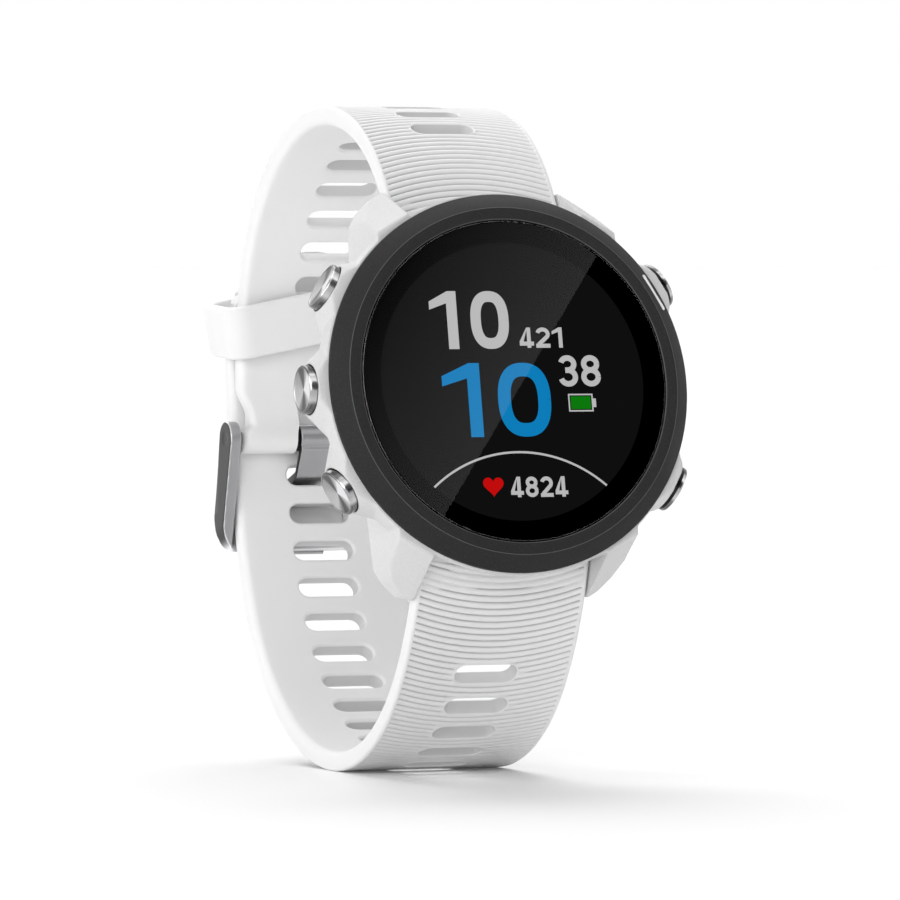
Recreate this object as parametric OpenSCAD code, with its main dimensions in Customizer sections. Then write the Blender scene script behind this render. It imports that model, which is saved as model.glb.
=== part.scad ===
// Running watch standing on its closed strap: a moulded case with five push buttons, a round lens in a
// bevelled bezel, a two-piece slotted strap on quick-release spring bars, a pin buckle and a keeper loop.
// Lengths are in millimetres. Inside the modules x points to 3 o'clock, y to 12 o'clock and z out of the
// lens, with z = 0 on the lens; on_stand() then sets the watch upright, leaning back, on its strap.

/* [Stance] */
// Lean of the face back from upright, in degrees
lean_back = 11.5; // [0:0.5:20]

/* [Case] */
// Diameter of the case at its rim
case_d = 42.3; // [41.8:0.1:44]
// Thickness from the lens to the land on the case back
case_h = 12.2; // [12:0.1:14]
// Thickness of the case wall at the rim
case_wall = 2.95; // [2.7:0.05:3.2]
// Depth of the rim that the bezel sits on
rim_depth = 1.95; // [1.8:0.05:2.2]
// Height of the straight band below the rim
band_h = 2.6; // [2:0.1:3]
// Inward slope of the case side below the band
side_taper = 3.2; // [2.5:0.1:3.6]
// Height of the raised land on the case back
land_h = 1.2; // [1:0.1:1.5]
// Diameter of the raised land on the case back
land_d = 24; // [23:0.5:26]

/* [Bezel and lens] */
// Width of the dark ring, from the case's edge to the lens
bezel_w = 3.4; // [3.2:0.1:3.6]
// Thickness of the lens
lens_t = 1.2; // [1:0.05:1.3]
// Step in from the case rim to the bezel
bezel_step = 0.25; // [0.1:0.05:0.5]
// Width of the bezel's flat top ring
bezel_flat = 1.4; // [1:0.1:1.6]
// Depth of the bezel's bevel
bevel_drop = 1.45; // [1.2:0.05:1.6]
// Width of the ledge that carries the lens
lens_ledge = 1.1; // [0.9:0.1:1.3]
// Thickness of the seal under the lens
lens_seal_t = 0.1; // [0.05:0.05:0.2]
// Length of the pill-shaped marker beside the upper right button
marker_l = 4.5; // [3.5:0.1:5]
// Width of the marker
marker_w = 0.75; // [0.6:0.05:1]

/* [Lugs] */
// Clearance between the strap's edge and a lug
strap_side = 0.2; // [0.15:0.05:0.5]
// Thickness of a lug at its root
lug_w = 4.2; // [4:0.1:4.6]
// Distance of the straps' roots out from the rim
strap_out = 0.05; // [0:0.05:0.3]
// Height of the straps' roots above the underside of the case
strap_up = 1.8; // [1.6:0.1:2]
// Length of a lug's nose past the strap's root
lug_nose = 1.4; // [1.2:0.1:1.6]

/* [Buttons] */
// Diameter of a button cap
cap_d = 5.3; // [4.8:0.1:5.6]
// Height of a cap above its boss
cap_proud = 0.85; // [0.7:0.05:1]
// Depth of the button axes below the lens
button_depth = 4.8; // [4.7:0.05:5]
// Reach of the button bosses past the rim
boss_out = 0.95; // [0.7:0.05:1.2]
// Angle of the upper and lower buttons from the 3 to 9 o'clock line
button_angle = 30; // [28:1:32]
// Diameter of a button stem
stem_d = 1.5; // [1.3:0.1:1.6]
// Travel of a button
button_travel = 0.4; // [0.3:0.05:0.45]

/* [Strap] */
// Width of the strap
strap_w = 20; // [19:0.1:22]
// Thickness of the strap
strap_t = 2.2; // [2:0.1:2.4]
// Length of a strap slot across the strap
slot_w = 7.3; // [6.6:0.1:8]
// Height of a strap slot along the strap
slot_h = 2.3; // [2.2:0.1:2.5]
// Distance from slot to slot along the strap
slot_pitch = 4.55; // [4.4:0.05:4.7]
// Number of slots in the lower strap
lower_slots = 21; // [19:1:21]
// Number of slots in the upper strap
upper_slots = 11; // [10:1:12]

/* [Buckle] */
// Diameter of the buckle bar
buckle_bar_d = 1.5; // [1.3:0.1:1.7]
// Thickness of a buckle arm across the strap
arm_w = 1.4; // [1.2:0.1:1.8]
// Width of the tongue
tongue_w = 4.4; // [3.8:0.1:4.8]
// Thickness of the tongue
tongue_t = 0.8; // [0.6:0.05:0.9]
// Thickness of the buckle's cross bar
cross_t = 1.4; // [1.2:0.1:1.6]
// Length of the keeper along the strap
keeper_l = 6; // [5:0.5:7]
// Wall thickness of the keeper
keeper_t = 1.4; // [1.2:0.1:1.6]

/* [Inside] */
// Step in from the lens ledge to the edge of the display module
display_in = 0.55; // [0.4:0.05:0.9]
// Thickness of the display module
display_t = 1.4; // [1.2:0.1:1.4]
// Length of the battery
battery_l = 20.5; // [19:0.5:21.5]
// Diameter of the vibration motor
motor_d = 8; // [7:0.5:8]
// Height of the vibration motor
motor_h = 2.7; // [2.4:0.1:3.2]

/* [Hidden] */
$fn = 64;
// Clearance of parts that are fitted together and stay
fit = 0.05;
// Radial clearance of turning and sliding parts
run = 0.05;
// Clearance between parts that move past each other or flex
gap = 0.3;
// Amount by which cutting shapes pass the surface they cut
past = 1;
// Height of cuts right through the strap or the buckle
through = 10;

// Case levels, as depths below the lens
back_depth = case_h - land_h;
cover_t = 1;
cover_seat = back_depth - cover_t;
flange_t = 1.2;
cavity_floor = cover_seat - flange_t;
case_r = case_d / 2;
cavity_r = case_r - case_wall;
// Case back and its opening
flange_w = 3.6;
cover_in = 0.9;
screw_in = 2.1;
opening_r = cavity_r - flange_w;
cover_r = cavity_r - cover_in;
screw_r = cavity_r - screw_in;
SCREW_ANGLES = [45 : 90 : 315];
screw_shank = 0.5;
screw_head = 0.85;
screw_head_h = 0.6;
land_r = land_d / 2;
land_wall = 1.5;
window_r = 5;
window_lip = 1;
window_t = 0.8;
sensor_board_t = 0.6;
sensor_part_h = 0.3;
sensor_low = case_h - cover_t - window_t / 2 - sensor_part_h;
gasket_w = 0.45;
gasket_in = 0.15;
gasket_r = opening_r + gasket_in;
contact_r = 0.5;
contact_pitch = 2.4;
contact_in = 3.6;
contact_y = contact_in - land_r;
contact_sink = 0.1;

// Bezel radii
bezel_r = case_r - bezel_step;
lens_r = case_r - bezel_w;
flat_r = lens_r + bezel_flat;
ledge_depth = lens_t + lens_seal_t;
skirt_depth = 2.65;
marker_at = 0.62;
marker_r = flat_r + marker_at * (bezel_r - flat_r);
marker_depth = marker_at * bevel_drop;
marker_sink = 0.7;
bevel_angle = atan2(bevel_drop, bezel_r - flat_r);

// Lugs and spring bars
lug_in = strap_w / 2 + strap_side;
lug_out = lug_in + lug_w;
strap_y = case_r + strap_out;
strap_depth = back_depth - strap_up;
strap_start = [-strap_y, -strap_depth];
lug_tip = strap_y + lug_nose;
lug_root = 9;
spring_bar_r = 0.85;
spring_pin_r = 0.45;
bar_short = 1;
spring_bar_l = strap_w - 2 * bar_short;
pin_in_lug = 1.1;
pin_reach = lug_in + pin_in_lug;
strap_roof = 0.5;
pin_travel = 1.2;
lever_r = 0.5;
lever_in = 3.8;
lever_x = strap_w / 2 - lever_in;
lever_out = 2.3;
lever_sink = 0.2;

// Buttons
cap_r = cap_d / 2;
stem_r = stem_d / 2;
boss_face = case_r + boss_out;
cap_face = boss_face + cap_proud;
cap_sink = 0.6;
cap_edge = 0.3;
dish_r = 14;
dish_depth = 0.15;
boss_lip = 0.35;
boss_top_r = cap_r + boss_lip;
boss_slope = 0.9;
clip_r = 1.2;
clip_t = 0.3;
clip_groove = 0.2;
clip_seat = 0.15;
clip_face = cavity_r - clip_seat;
stem_in = 1.15;
stem_end = cavity_r - stem_in;
switch_free = 0.1;
switch_face = stem_end - button_travel - switch_free;
switch_d = 1.5;
switch_w = 4.4;
switch_h = 1.7;
seal_w = 0.4;
seal_l = 0.6;
seal_cover = 0.7;
seal_face = boss_face - cap_sink - button_travel - seal_cover;
BUTTON_ANGLES = [180 - button_angle, 180, 180 + button_angle, button_angle, -button_angle];

// Stack inside the case, as depths below the lens
display_top = ledge_depth + fit;
display_r = lens_r - lens_ledge - display_in;
chassis_top = display_top + display_t + fit;
chassis_t = 0.8;
edge_room = 1;
chassis_r = cavity_r - edge_room;
leg_h = 0.45;
board_top = chassis_top + chassis_t + leg_h;
board_t = 0.8;
board_r = cavity_r - edge_room;
board_bottom = board_top + board_t;
battery_pad = 0.2;
battery_top = board_bottom + battery_pad;
battery_t = cavity_floor - battery_top - fit;
part_room = 0.5;
motor_edge = 1.2;
can_edge = 3.6;
can_l = 14;
can_w = 4.6;
can_h = 1.6;
battery_w = 2 * cavity_r - motor_edge - motor_d - can_edge - can_w - 2 * part_room;
battery_y = motor_edge + motor_d + part_room + battery_w / 2 - cavity_r;
can_y = battery_y + battery_w / 2 + part_room + can_w / 2;
motor_r = motor_d / 2;
motor_y = battery_y - battery_w / 2 - part_room - motor_r;
motor_wall = 0.35;
motor_pin_r = 0.4;
rotor_room = 0.25;
rotor_r = motor_r - motor_wall - rotor_room;
rotor_h = 1.6;
antenna_room = 0.1;
antenna_top = skirt_depth + antenna_room;
antenna_h = 0.7;
antenna_w = 0.6;

// Strap paths: chains of tangent arcs, given as radius and turn in degrees, from the spring bar outwards
lower_heading = 209.5;
lower_turns = [[35.5, 19], [25, 52.4], [29.5, 64.8], [54, 10.6], [87.5, 20.5]];
upper_heading = 201;
upper_turns = [[21.5, 39.8], [26.5, 66.6], [27.5, 36.6], [64, 10.5]];
lower = chain(strap_start, lower_heading, lower_turns);
upper = chain(strap_start, upper_heading, upper_turns);
lower_l = chain_length(lower);
upper_l = chain_length(upper);
strap_edge = 0.6;
lap_l = 0.2;
lap_step = 0.01;
// Spring bars, on the wrist side of the straps' middle
bar_drop = 0.8;
bar_at = strap_start - bar_drop * outward((lower_heading + upper_heading) / 2);
root_r = bar_drop + strap_t / 2 - fit;
root_back = 2.2;
root_in = 0.4;
lower_first = 10.2;
upper_first = 11.6;
tip_r = strap_w / 2;
roll_r = 1.75;
neck_w = 17.6;
neck_l = 3.1;
neck_slope = 1.4;
notch_l = 4.2;

// Buckle, keyed to the slot that the tongue stands in
tongue_slot = 16;
slot_at = along(lower, lower_first + tongue_slot * slot_pitch);
bar_end = along(upper, upper_l);
buckle_bar = [-bar_end[0].x, bar_end[0].y];
buckle_bar_r = buckle_bar_d / 2;
arm_room = 0.3;
arm_in = strap_w / 2 + arm_room;
arm_out = arm_in + arm_w;
arm_end_r = 2;
arm_tip_r = 0.95;
cross_back = 6;
cross_half = 1.6;
cross_at = along(lower, lower_first + tongue_slot * slot_pitch - cross_back);
cross_out = strap_t / 2 + gap + cross_t / 2;
cross_p = cross_at[0] + cross_out * outward(cross_at[1]);
corner_r = 3.2;
bar_recess = 0.35;
tongue_ring_r = 1.55;
tongue_rest = 0.15;
tongue_lie = strap_t / 2 + gap + cross_t + tongue_rest + tongue_t / 2;
tongue_root = [-1.4, 0.9];
tongue_in = [-0.05, -0.5];
tongue_out = [-0.5, 0.6];
tongue_bend = -1.95;
tongue_over = 2;
tongue_line = [
    buckle_bar + tongue_root,
    slot_point(tongue_in.x, tongue_in.y - strap_t / 2),
    slot_point(tongue_out.x, tongue_out.y + strap_t / 2),
    slot_point(tongue_bend, tongue_lie),
    cross_at[0] + tongue_lie * outward(cross_at[1]) - tongue_over * ahead(cross_at[1])
];

// Keeper, round both strap layers
keeper_back = 14.4;
keeper_skew = 11;
keeper_side = 1;
keeper_at = along(upper, upper_l - keeper_back);
keeper_p = [-keeper_at[0].x, keeper_at[0].y];
keeper_lean = 1.6;
keeper_turn = -keeper_at[1] - keeper_lean;
tail_c = lower[len(lower) - 1][0];
layer_step = lower[len(lower) - 1][1] - norm(keeper_p - tail_c);
keeper_clear = 0.85;
keeper_in_w = strap_w + 2 * keeper_side;
keeper_low = -strap_t / 2 - keeper_clear;
keeper_high = layer_step + strap_t / 2 + keeper_clear;
keeper_round = 1;
keeper_flat = keeper_in_w / 2 + keeper_t - 2 * keeper_round;
keeper_reach = keeper_l / 2 * cos(keeper_skew) + keeper_flat * sin(keeper_skew);

// Stance: the bounding box is centred on x and y, and the strap's lowest line stands on z = 0
reach_left = cap_face;
reach_right = cap_face * cos(button_angle) + cap_r * sin(button_angle);
stand_x = (reach_left - reach_right) / 2;
path_step = 0.05;
stand_z = -min([for (s = [0 : path_step : lower_l]) let (q = along(lower, s)) height_of(outer_edge(q))]);
front_y = min(depth_of([-flat_r, 0]), depth_of([-bezel_r, -bevel_drop]));
back_y = max([for (s = [-1, 1]) depth_of(keeper_corner(s * keeper_reach))]);
stand_y = -(front_y + back_y) / 2;

// Directions and points of a strap path, in the y and z plane
function ahead(h) = [cos(h), sin(h)];
function outward(h) = [sin(h), -cos(h)];
function chain(p, h, turns, i = 0) = i == len(turns) ? [] : let (
        r = turns[i][0],
        a = turns[i][1],
        c = p - r * outward(h)
    ) concat([[c, r, h, a]], chain(c + r * outward(h + a), h + a, turns, i + 1));
function arc_length(arc) = arc[1] * arc[3] * PI / 180;
function chain_length(arcs, i = 0) = i == len(arcs) ? 0 : arc_length(arcs[i]) + chain_length(arcs, i + 1);
function along(arcs, s, i = 0) = let (l = arc_length(arcs[i]))
    s > l && i < len(arcs) - 1 ? along(arcs, s - l, i + 1)
    : let (h = arcs[i][2] + s / arcs[i][1] * 180 / PI) [arcs[i][0] + arcs[i][1] * outward(h), h];
function outer_edge(q) = q[0] + strap_t / 2 * outward(q[1]);
function slot_point(t, n) = slot_at[0] + t * ahead(slot_at[1]) + n * outward(slot_at[1]);
function keeper_corner(t) = let (n = keeper_high + keeper_t)
    keeper_p + t * ahead(keeper_turn) + n * outward(keeper_turn);
// Height and depth of a point of the y and z plane once the watch leans back
function height_of(p) = p.x * cos(lean_back) + p.y * sin(lean_back);
function depth_of(p) = p.x * sin(lean_back) - p.y * cos(lean_back);

// Sets the watch on its strap
module on_stand() {
    translate([stand_x, stand_y, stand_z])
        rotate([90 - lean_back, 0, 0])
            children();
}

// Places a shape at a path point: its y runs along the strap and its z points to the wrist
module at_path(q) {
    translate([0, q[0].x, q[0].y])
        rotate([q[1], 0, 0])
            children();
}

// Extrudes an outline of the y and z plane across the watch, from x0 to x1
module across(x0, x1) {
    translate([x0, 0, 0])
        rotate([90, 0, 90])
            linear_extrude(height = x1 - x0)
                children();
}

// Round bar across the watch, from x0 to x1
module rod(p, r, x0, x1) {
    translate([x0, p.x, p.y])
        rotate([0, 90, 0])
            cylinder(r = r, h = x1 - x0);
}

// Disc or ring between two depths below the lens
module disc(r, top, bottom) {
    translate([0, 0, -bottom])
        cylinder(r = r, h = bottom - top);
}

module ring(outer, inner, top, bottom) {
    difference() {
        disc(outer, top, bottom);
        disc(inner, top - past, bottom + past);
    }
}

// Block centred on x and y between two depths below the lens
module slab(l, w, top, bottom) {
    translate([-l / 2, -w / 2, -bottom])
        cube([l, w, bottom - top]);
}

// Places a shape on a button's axis: its z points outwards from the case
module on_button(angle) {
    rotate([0, 0, angle])
        translate([0, 0, -button_depth])
            rotate([0, 90, 0])
                children();
}

// Rounded bar between two round ends, in the plane
module link(p, r, q, s) {
    d = norm(q - p);
    lean = acos((r - s) / d);
    dir = atan2(q.y - p.y, q.x - p.x);
    left = [cos(dir + lean), sin(dir + lean)];
    right = [cos(dir - lean), sin(dir - lean)];
    translate(p)
        circle(r);
    translate(q)
        circle(s);
    polygon([p + r * right, q + s * right, q + s * left, p + r * left]);
}

// Stadium outline across the strap
module stadium(l, w) {
    square([l - w, w], center = true);
    for (side = [-1, 1])
        translate([side * (l - w) / 2, 0])
            circle(w / 2);
}

// Pill that stands on the bezel's bevel beside the upper right button
module marker_pill(grow) {
    rotate([0, 0, button_angle])
        translate([marker_r, 0, -marker_depth])
            rotate([0, 90 - bevel_angle, 0])
                rotate([0, 0, 90])
                    translate([0, 0, -marker_sink - grow])
                        linear_extrude(height = marker_sink + past)
                            stadium(marker_l + 2 * grow, marker_w + 2 * grow);
}

module bezel_body() {
    rotate_extrude()
        polygon([
            [lens_r + fit, 0],
            [flat_r, 0],
            [bezel_r, -bevel_drop],
            [bezel_r, -rim_depth],
            [cavity_r - fit, -rim_depth],
            [cavity_r - fit, -skirt_depth],
            [lens_r - lens_ledge, -skirt_depth],
            [lens_r - lens_ledge, -ledge_depth],
            [lens_r + fit, -ledge_depth]
        ]);
}

// Dark bevelled ring with a ledge for the lens and a pocket for the marker
module bezel() {
    color("#3b3c3e")
        on_stand()
            difference() {
                bezel_body();
                marker_pill(fit);
            }
}

// White inlay flush with the bevel
module start_marker() {
    color("white")
        on_stand()
            intersection() {
                bezel_body($fn = 4 * $fn);
                marker_pill(0);
            }
}

module lens() {
    color("#101112")
        on_stand()
            disc(lens_r, 0, lens_t);
}

module lens_seal() {
    color("#202020")
        on_stand()
            ring(lens_r - fit, lens_r - lens_ledge + fit, lens_t, ledge_depth);
}

module display_module() {
    color("#1b1c1e")
        on_stand()
            disc(display_r, display_top, display_top + display_t);
}

// One lug: its side outline across its plan outline, cut by the plane of its front facet
module lug() {
    slope_back = 2.3;
    facet_turn = 30;
    facet_slope = 2.1;
    facet_l = 2 * lug_w + 2 * case_h;
    nose_w = 0.2;
    nose_drop = 1.2;
    side_w = 4.2;
    under = 0.4;
    intersection() {
        across(lug_in, lug_out)
            polygon([
                [lug_root, -rim_depth],
                [lug_tip, -rim_depth],
                [lug_tip, -strap_depth],
                [lug_tip - under, -strap_depth - nose_drop],
                [lug_tip - 2 * under, -back_depth],
                [lug_root, -back_depth]
            ]);
        translate([0, 0, -case_h])
            linear_extrude(height = case_h)
                polygon([
                    [lug_in, lug_root],
                    [lug_in, lug_tip],
                    [lug_in + nose_w, lug_tip],
                    [lug_in + side_w / 3, lug_tip - side_w / 6],
                    [lug_in + side_w * 2 / 3, lug_tip - side_w / 2],
                    [lug_out - side_w / 8, lug_tip - side_w * 7 / 8],
                    [lug_out, lug_root]
                ]);
        translate([lug_in, strap_y - slope_back, -rim_depth])
            rotate([0, 0, -facet_turn])
                rotate([-atan(facet_slope), 0, 0])
                    translate([-facet_l, -facet_l, -2 * facet_l])
                        cube([2 * facet_l, 2 * facet_l, 2 * facet_l]);
    }
}

module four_lugs() {
    for (side = [0, 1])
        for (end = [0, 1])
            mirror([side, 0, 0])
                mirror([0, end, 0])
                    lug();
}

// Conical boss that carries one button
module boss() {
    boss_foot = cavity_r;
    boss_h = boss_face - boss_foot;
    translate([0, 0, boss_foot])
        cylinder(r1 = boss_top_r + boss_slope * boss_h, r2 = boss_top_r, h = boss_h);
}

module five_bosses() {
    intersection() {
        for (angle = BUTTON_ANGLES)
            on_button(angle)
                boss();
        disc(boss_face + past, rim_depth, back_depth);
    }
}

// Recess for the cap, bore for the stem and counterbore for the seal
module button_bore() {
    translate([0, 0, boss_face - cap_sink - button_travel])
        cylinder(r = cap_r + run + fit, h = cap_sink + button_travel + past);
    translate([0, 0, cavity_r - past])
        cylinder(r = stem_r + run, h = boss_face - cavity_r + past);
    translate([0, 0, seal_face - seal_l])
        cylinder(r = stem_r + seal_w + fit, h = seal_l + past);
}

// Moulded case: tapered round body, four facetted lugs and five button bosses round an open cavity
module middle_case() {
    wall_flat = -bar_at.x - root_r - 2 * fit;
    color("#f4f4f4")
        on_stand()
            difference() {
                union() {
                    rotate_extrude()
                        polygon([
                            [opening_r, -rim_depth],
                            [case_r, -rim_depth],
                            [case_r, -rim_depth - band_h],
                            [case_r - side_taper, -back_depth],
                            [opening_r, -back_depth]
                        ]);
                    four_lugs();
                    five_bosses();
                }
                disc(cavity_r, rim_depth - past, cavity_floor);
                disc(opening_r, cavity_floor - past, cover_seat + past);
                disc(cover_r + fit, cover_seat, back_depth + past);
                for (angle = BUTTON_ANGLES)
                    on_button(angle)
                        button_bore();
                for (end = [-1, 1]) {
                    translate([-lug_in, end > 0 ? wall_flat : -wall_flat - lug_tip, -case_h])
                        cube([2 * lug_in, lug_tip, case_h - rim_depth - strap_roof]);
                    rod([end * bar_at.x, bar_at.y], spring_pin_r + run, -pin_reach - gap, pin_reach + gap);
                }
                for (angle = SCREW_ANGLES)
                    rotate([0, 0, angle])
                        translate([screw_r, 0, 0])
                            disc(screw_shank + fit, cavity_floor - past, cover_seat + past);
            }
}

// Case back: flange with screw holes, raised land, window opening, contact holes and gasket groove
module rear_cover() {
    groove_depth = cover_seat + gasket_w + fit;
    color("#8d8f92")
        on_stand()
            difference() {
                union() {
                    disc(cover_r, cover_seat, back_depth);
                    disc(land_r, cover_seat, case_h);
                }
                disc(land_r - land_wall, cover_seat - past, case_h - cover_t);
                disc(window_r + fit, cover_seat, case_h + past);
                ring(gasket_r + gasket_w + fit, gasket_r - fit, cover_seat - past, groove_depth);
                screw_pattern(screw_shank + fit, screw_head + fit, screw_head_h + fit, cover_seat - past);
                contact_row(contact_r + fit, cover_seat, case_h + past);
            }
}

module screw_pattern(shank, head, head_h, top) {
    for (angle = SCREW_ANGLES)
        rotate([0, 0, angle])
            translate([screw_r, 0, 0]) {
                disc(shank, top, back_depth);
                disc(head, back_depth - head_h, back_depth);
            }
}

module contact_row(r, top, bottom) {
    for (i = [-1.5 : 1 : 1.5])
        translate([i * contact_pitch, contact_y, 0])
            disc(r, top, bottom);
}

module case_gasket() {
    color("#2a2a2c")
        on_stand()
            ring(gasket_r + gasket_w, gasket_r, cover_seat, cover_seat + gasket_w);
}

module rear_screws() {
    color("#b9bcc0")
        on_stand()
            screw_pattern(screw_shank, screw_head, screw_head_h, cavity_floor + fit);
}

// Clear window over the pulse sensor, held by a lip behind the case back
module sensor_window() {
    color("#17181a")
        on_stand() {
            disc(window_r, case_h - cover_t, case_h);
            disc(window_r + window_lip, case_h - cover_t - window_t / 2, case_h - cover_t);
        }
}

// Round board with three light sources and a detector behind the window
module sensor_board() {
    light_w = 1;
    detector_w = 1.6;
    part_low = sensor_low + sensor_part_h - fit;
    color("#1f5a3a")
        on_stand() {
            disc(land_r - land_wall - gap, sensor_low - sensor_board_t, sensor_low);
            for (angle = [90 : 120 : 330])
                rotate([0, 0, angle])
                    translate([window_r / 2, 0, 0])
                        slab(light_w, light_w, sensor_low, part_low);
            slab(detector_w, detector_w, sensor_low, part_low);
        }
}

// Four contacts on the sensor board, a little below the land
module charging_contacts() {
    color("#d9b25a")
        on_stand()
            contact_row(contact_r, sensor_low, case_h - contact_sink);
}

// Notch beside each button for its switch
module switch_notches(top, bottom) {
    for (angle = BUTTON_ANGLES)
        rotate([0, 0, angle])
            translate([switch_face - switch_d - gap, -switch_w / 2 - gap, -bottom - past])
                cube([case_r, switch_w + 2 * gap, bottom - top + 2 * past]);
}

// Carrier under the display with four legs to the board
module chassis() {
    leg_r = 0.9;
    leg_at = 14;
    window_l = 16;
    window_w = 8;
    color("#56595d")
        on_stand()
            difference() {
                union() {
                    disc(chassis_r, chassis_top, chassis_top + chassis_t);
                    for (angle = [60, 120, 240, 300])
                        rotate([0, 0, angle])
                            translate([leg_at, 0, 0])
                                disc(leg_r, chassis_top + chassis_t, board_top);
                }
                slab(window_l, window_w, chassis_top - past, chassis_top + chassis_t + past);
            }
}

module main_board() {
    color("#1d6b45")
        on_stand()
            difference() {
                disc(board_r, board_top, board_bottom);
                switch_notches(board_top, board_bottom);
            }
}

// Metal shield over the radio on the board's underside
module shield_can() {
    color("#c3c6c9")
        on_stand()
            translate([0, can_y, 0])
                slab(can_l, can_w, board_bottom, board_bottom + can_h);
}

module battery() {
    color("#c9ccd0")
        on_stand()
            translate([0, battery_y, 0])
                slab(battery_l, battery_w, battery_top, battery_top + battery_t);
}

// Motor cup with its fixed pin
module motor_can() {
    color("#b2b5b9")
        on_stand()
            translate([0, motor_y, 0]) {
                difference() {
                    disc(motor_r, board_bottom, board_bottom + motor_h);
                    disc(motor_r - motor_wall, board_bottom - past, board_bottom + motor_h - motor_wall);
                }
                disc(motor_pin_r, board_bottom + fit, board_bottom + motor_h);
            }
}

// Half-round weight that turns on the motor's pin
module motor_rotor() {
    hub_r = 1;
    rotor_top = board_bottom + motor_h - motor_wall - rotor_h - rotor_room;
    color("#7b7e82")
        on_stand()
            translate([0, motor_y, 0])
                difference() {
                    union() {
                        intersection() {
                            disc(rotor_r, rotor_top, rotor_top + rotor_h);
                            translate([-motor_r, -motor_d, -board_bottom - motor_h])
                                cube([motor_d, motor_d, motor_h]);
                        }
                        disc(hub_r, rotor_top, rotor_top + rotor_h);
                    }
                    disc(motor_pin_r + run, rotor_top - past, rotor_top + rotor_h + past);
                }
}

// Piezo strip glued inside the case back
module buzzer() {
    buzzer_l = 8;
    buzzer_t = 0.4;
    buzzer_in = land_r - land_wall + gap;
    buzzer_out = sqrt((opening_r - gap) ^ 2 - (buzzer_l / 2) ^ 2);
    color("#c8a24c")
        on_stand()
            translate([(buzzer_in + buzzer_out) / 2, 0, 0])
                slab(buzzer_out - buzzer_in, buzzer_l, cover_seat - buzzer_t, cover_seat);
}

// Open ring antenna along the cavity wall
module antenna_ring() {
    feed_gap = 4;
    color("#c98b4b")
        on_stand()
            difference() {
                ring(cavity_r - fit, cavity_r - fit - antenna_w, antenna_top, antenna_top + antenna_h);
                translate([-feed_gap / 2, 0, -antenna_top - antenna_h - past])
                    cube([feed_gap, case_r, antenna_h + 2 * past]);
            }
}

// Five side switches in the notches of the board
module tact_switches() {
    color("#303236")
        on_stand()
            for (angle = BUTTON_ANGLES)
                rotate([0, 0, angle])
                    translate([switch_face - switch_d, -switch_w / 2, -button_depth - switch_h / 2])
                        cube([switch_d, switch_w, switch_h]);
}

module button_seals() {
    color("#2a2a2c")
        on_stand()
            for (angle = BUTTON_ANGLES)
                on_button(angle)
                    translate([0, 0, seal_face - seal_l])
                        difference() {
                            cylinder(r = stem_r + seal_w, h = seal_l);
                            translate([0, 0, -past])
                                cylinder(r = stem_r + run, h = seal_l + 2 * past);
                        }
}

// Metal cap with a dished face on a stem that is grooved for its clip
module button(angle) {
    cap_foot = boss_face - cap_sink;
    color("#b5b8bc")
        on_stand()
            on_button(angle)
                difference() {
                    union() {
                        rotate_extrude()
                            polygon([
                                [0, cap_foot],
                                [cap_r, cap_foot],
                                [cap_r, cap_face - cap_edge],
                                [cap_r - cap_edge, cap_face],
                                [0, cap_face]
                            ]);
                        translate([0, 0, stem_end])
                            cylinder(r = stem_r, h = cap_foot - stem_end);
                    }
                    translate([0, 0, cap_face + dish_r - dish_depth])
                        sphere(r = dish_r);
                    translate([0, 0, clip_face - clip_t - fit])
                        difference() {
                            cylinder(r = stem_r + past, h = clip_t + 2 * fit);
                            cylinder(r = stem_r - clip_groove, h = clip_t + 2 * fit);
                        }
                }
}

// Open retaining ring in the groove of a stem
module clip(angle) {
    clip_in = stem_r - clip_groove + fit;
    color("#8f9296")
        on_stand()
            on_button(angle)
                translate([0, 0, clip_face - clip_t])
                    difference() {
                        cylinder(r = clip_r, h = clip_t);
                        translate([0, 0, -past])
                            cylinder(r = clip_in, h = clip_t + 2 * past);
                        translate([0, -clip_in, -past])
                            cube([clip_r + past, 2 * clip_in, clip_t + 2 * past]);
                    }
}

// Cross-section of the strap: radius outwards, width across, all four edges broken
module strap_section(inset) {
    h = strap_t / 2 - inset;
    w = strap_w / 2 - inset;
    polygon([
        [-h, -w + strap_edge],
        [-h + strap_edge, -w],
        [h - strap_edge, -w],
        [h, -w + strap_edge],
        [h, w - strap_edge],
        [h - strap_edge, w],
        [-h + strap_edge, w],
        [-h, w - strap_edge]
    ]);
}

// Strap band along a chain of arcs: each arc laps a little way over the next, which is a hair thinner
module band(arcs) {
    for (i = [0 : len(arcs) - 1])
        let (arc = arcs[i])
            translate([0, arc[0].x, arc[0].y])
                rotate([90, 0, 90])
                    rotate_extrude(angle = arc[3] + lap_l / arc[1] * 180 / PI, start = arc[2] - 90)
                        translate([arc[1], 0])
                            strap_section(i * lap_step);
}

module strap_slots(arcs, first, count) {
    for (i = [0 : count - 1])
        at_path(along(arcs, first + i * slot_pitch))
            linear_extrude(height = through, center = true)
                stadium(slot_w, slot_h);
}

// Root of a strap half: its outer face runs on to the case over a thick roll round the spring bar
module strap_root(arcs) {
    w = strap_w / 2;
    back = along(arcs, -root_back);
    face = outer_edge(back);
    rod(bar_at, root_r, -w, w);
    across(-w, w)
        polygon([
            outer_edge(along(arcs, 0)),
            face,
            face + [root_in, -root_in],
            [bar_at.x + root_r, bar_at.y],
            bar_at,
            strap_start
        ]);
}

// Bore for the spring bar, with a window on the wrist side for the release lever
module root_bore() {
    window_w = 2 * lever_r + pin_travel + 2 * gap;
    rod(bar_at, spring_bar_r + fit, -strap_w, strap_w);
    window_h = 2 * (lever_r + gap);
    window_x = lever_x + lever_r + gap - window_w;
    translate([window_x, bar_at.x - window_h / 2, bar_at.y - root_r - past])
        cube([window_w, window_h, root_r + past]);
}

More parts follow.
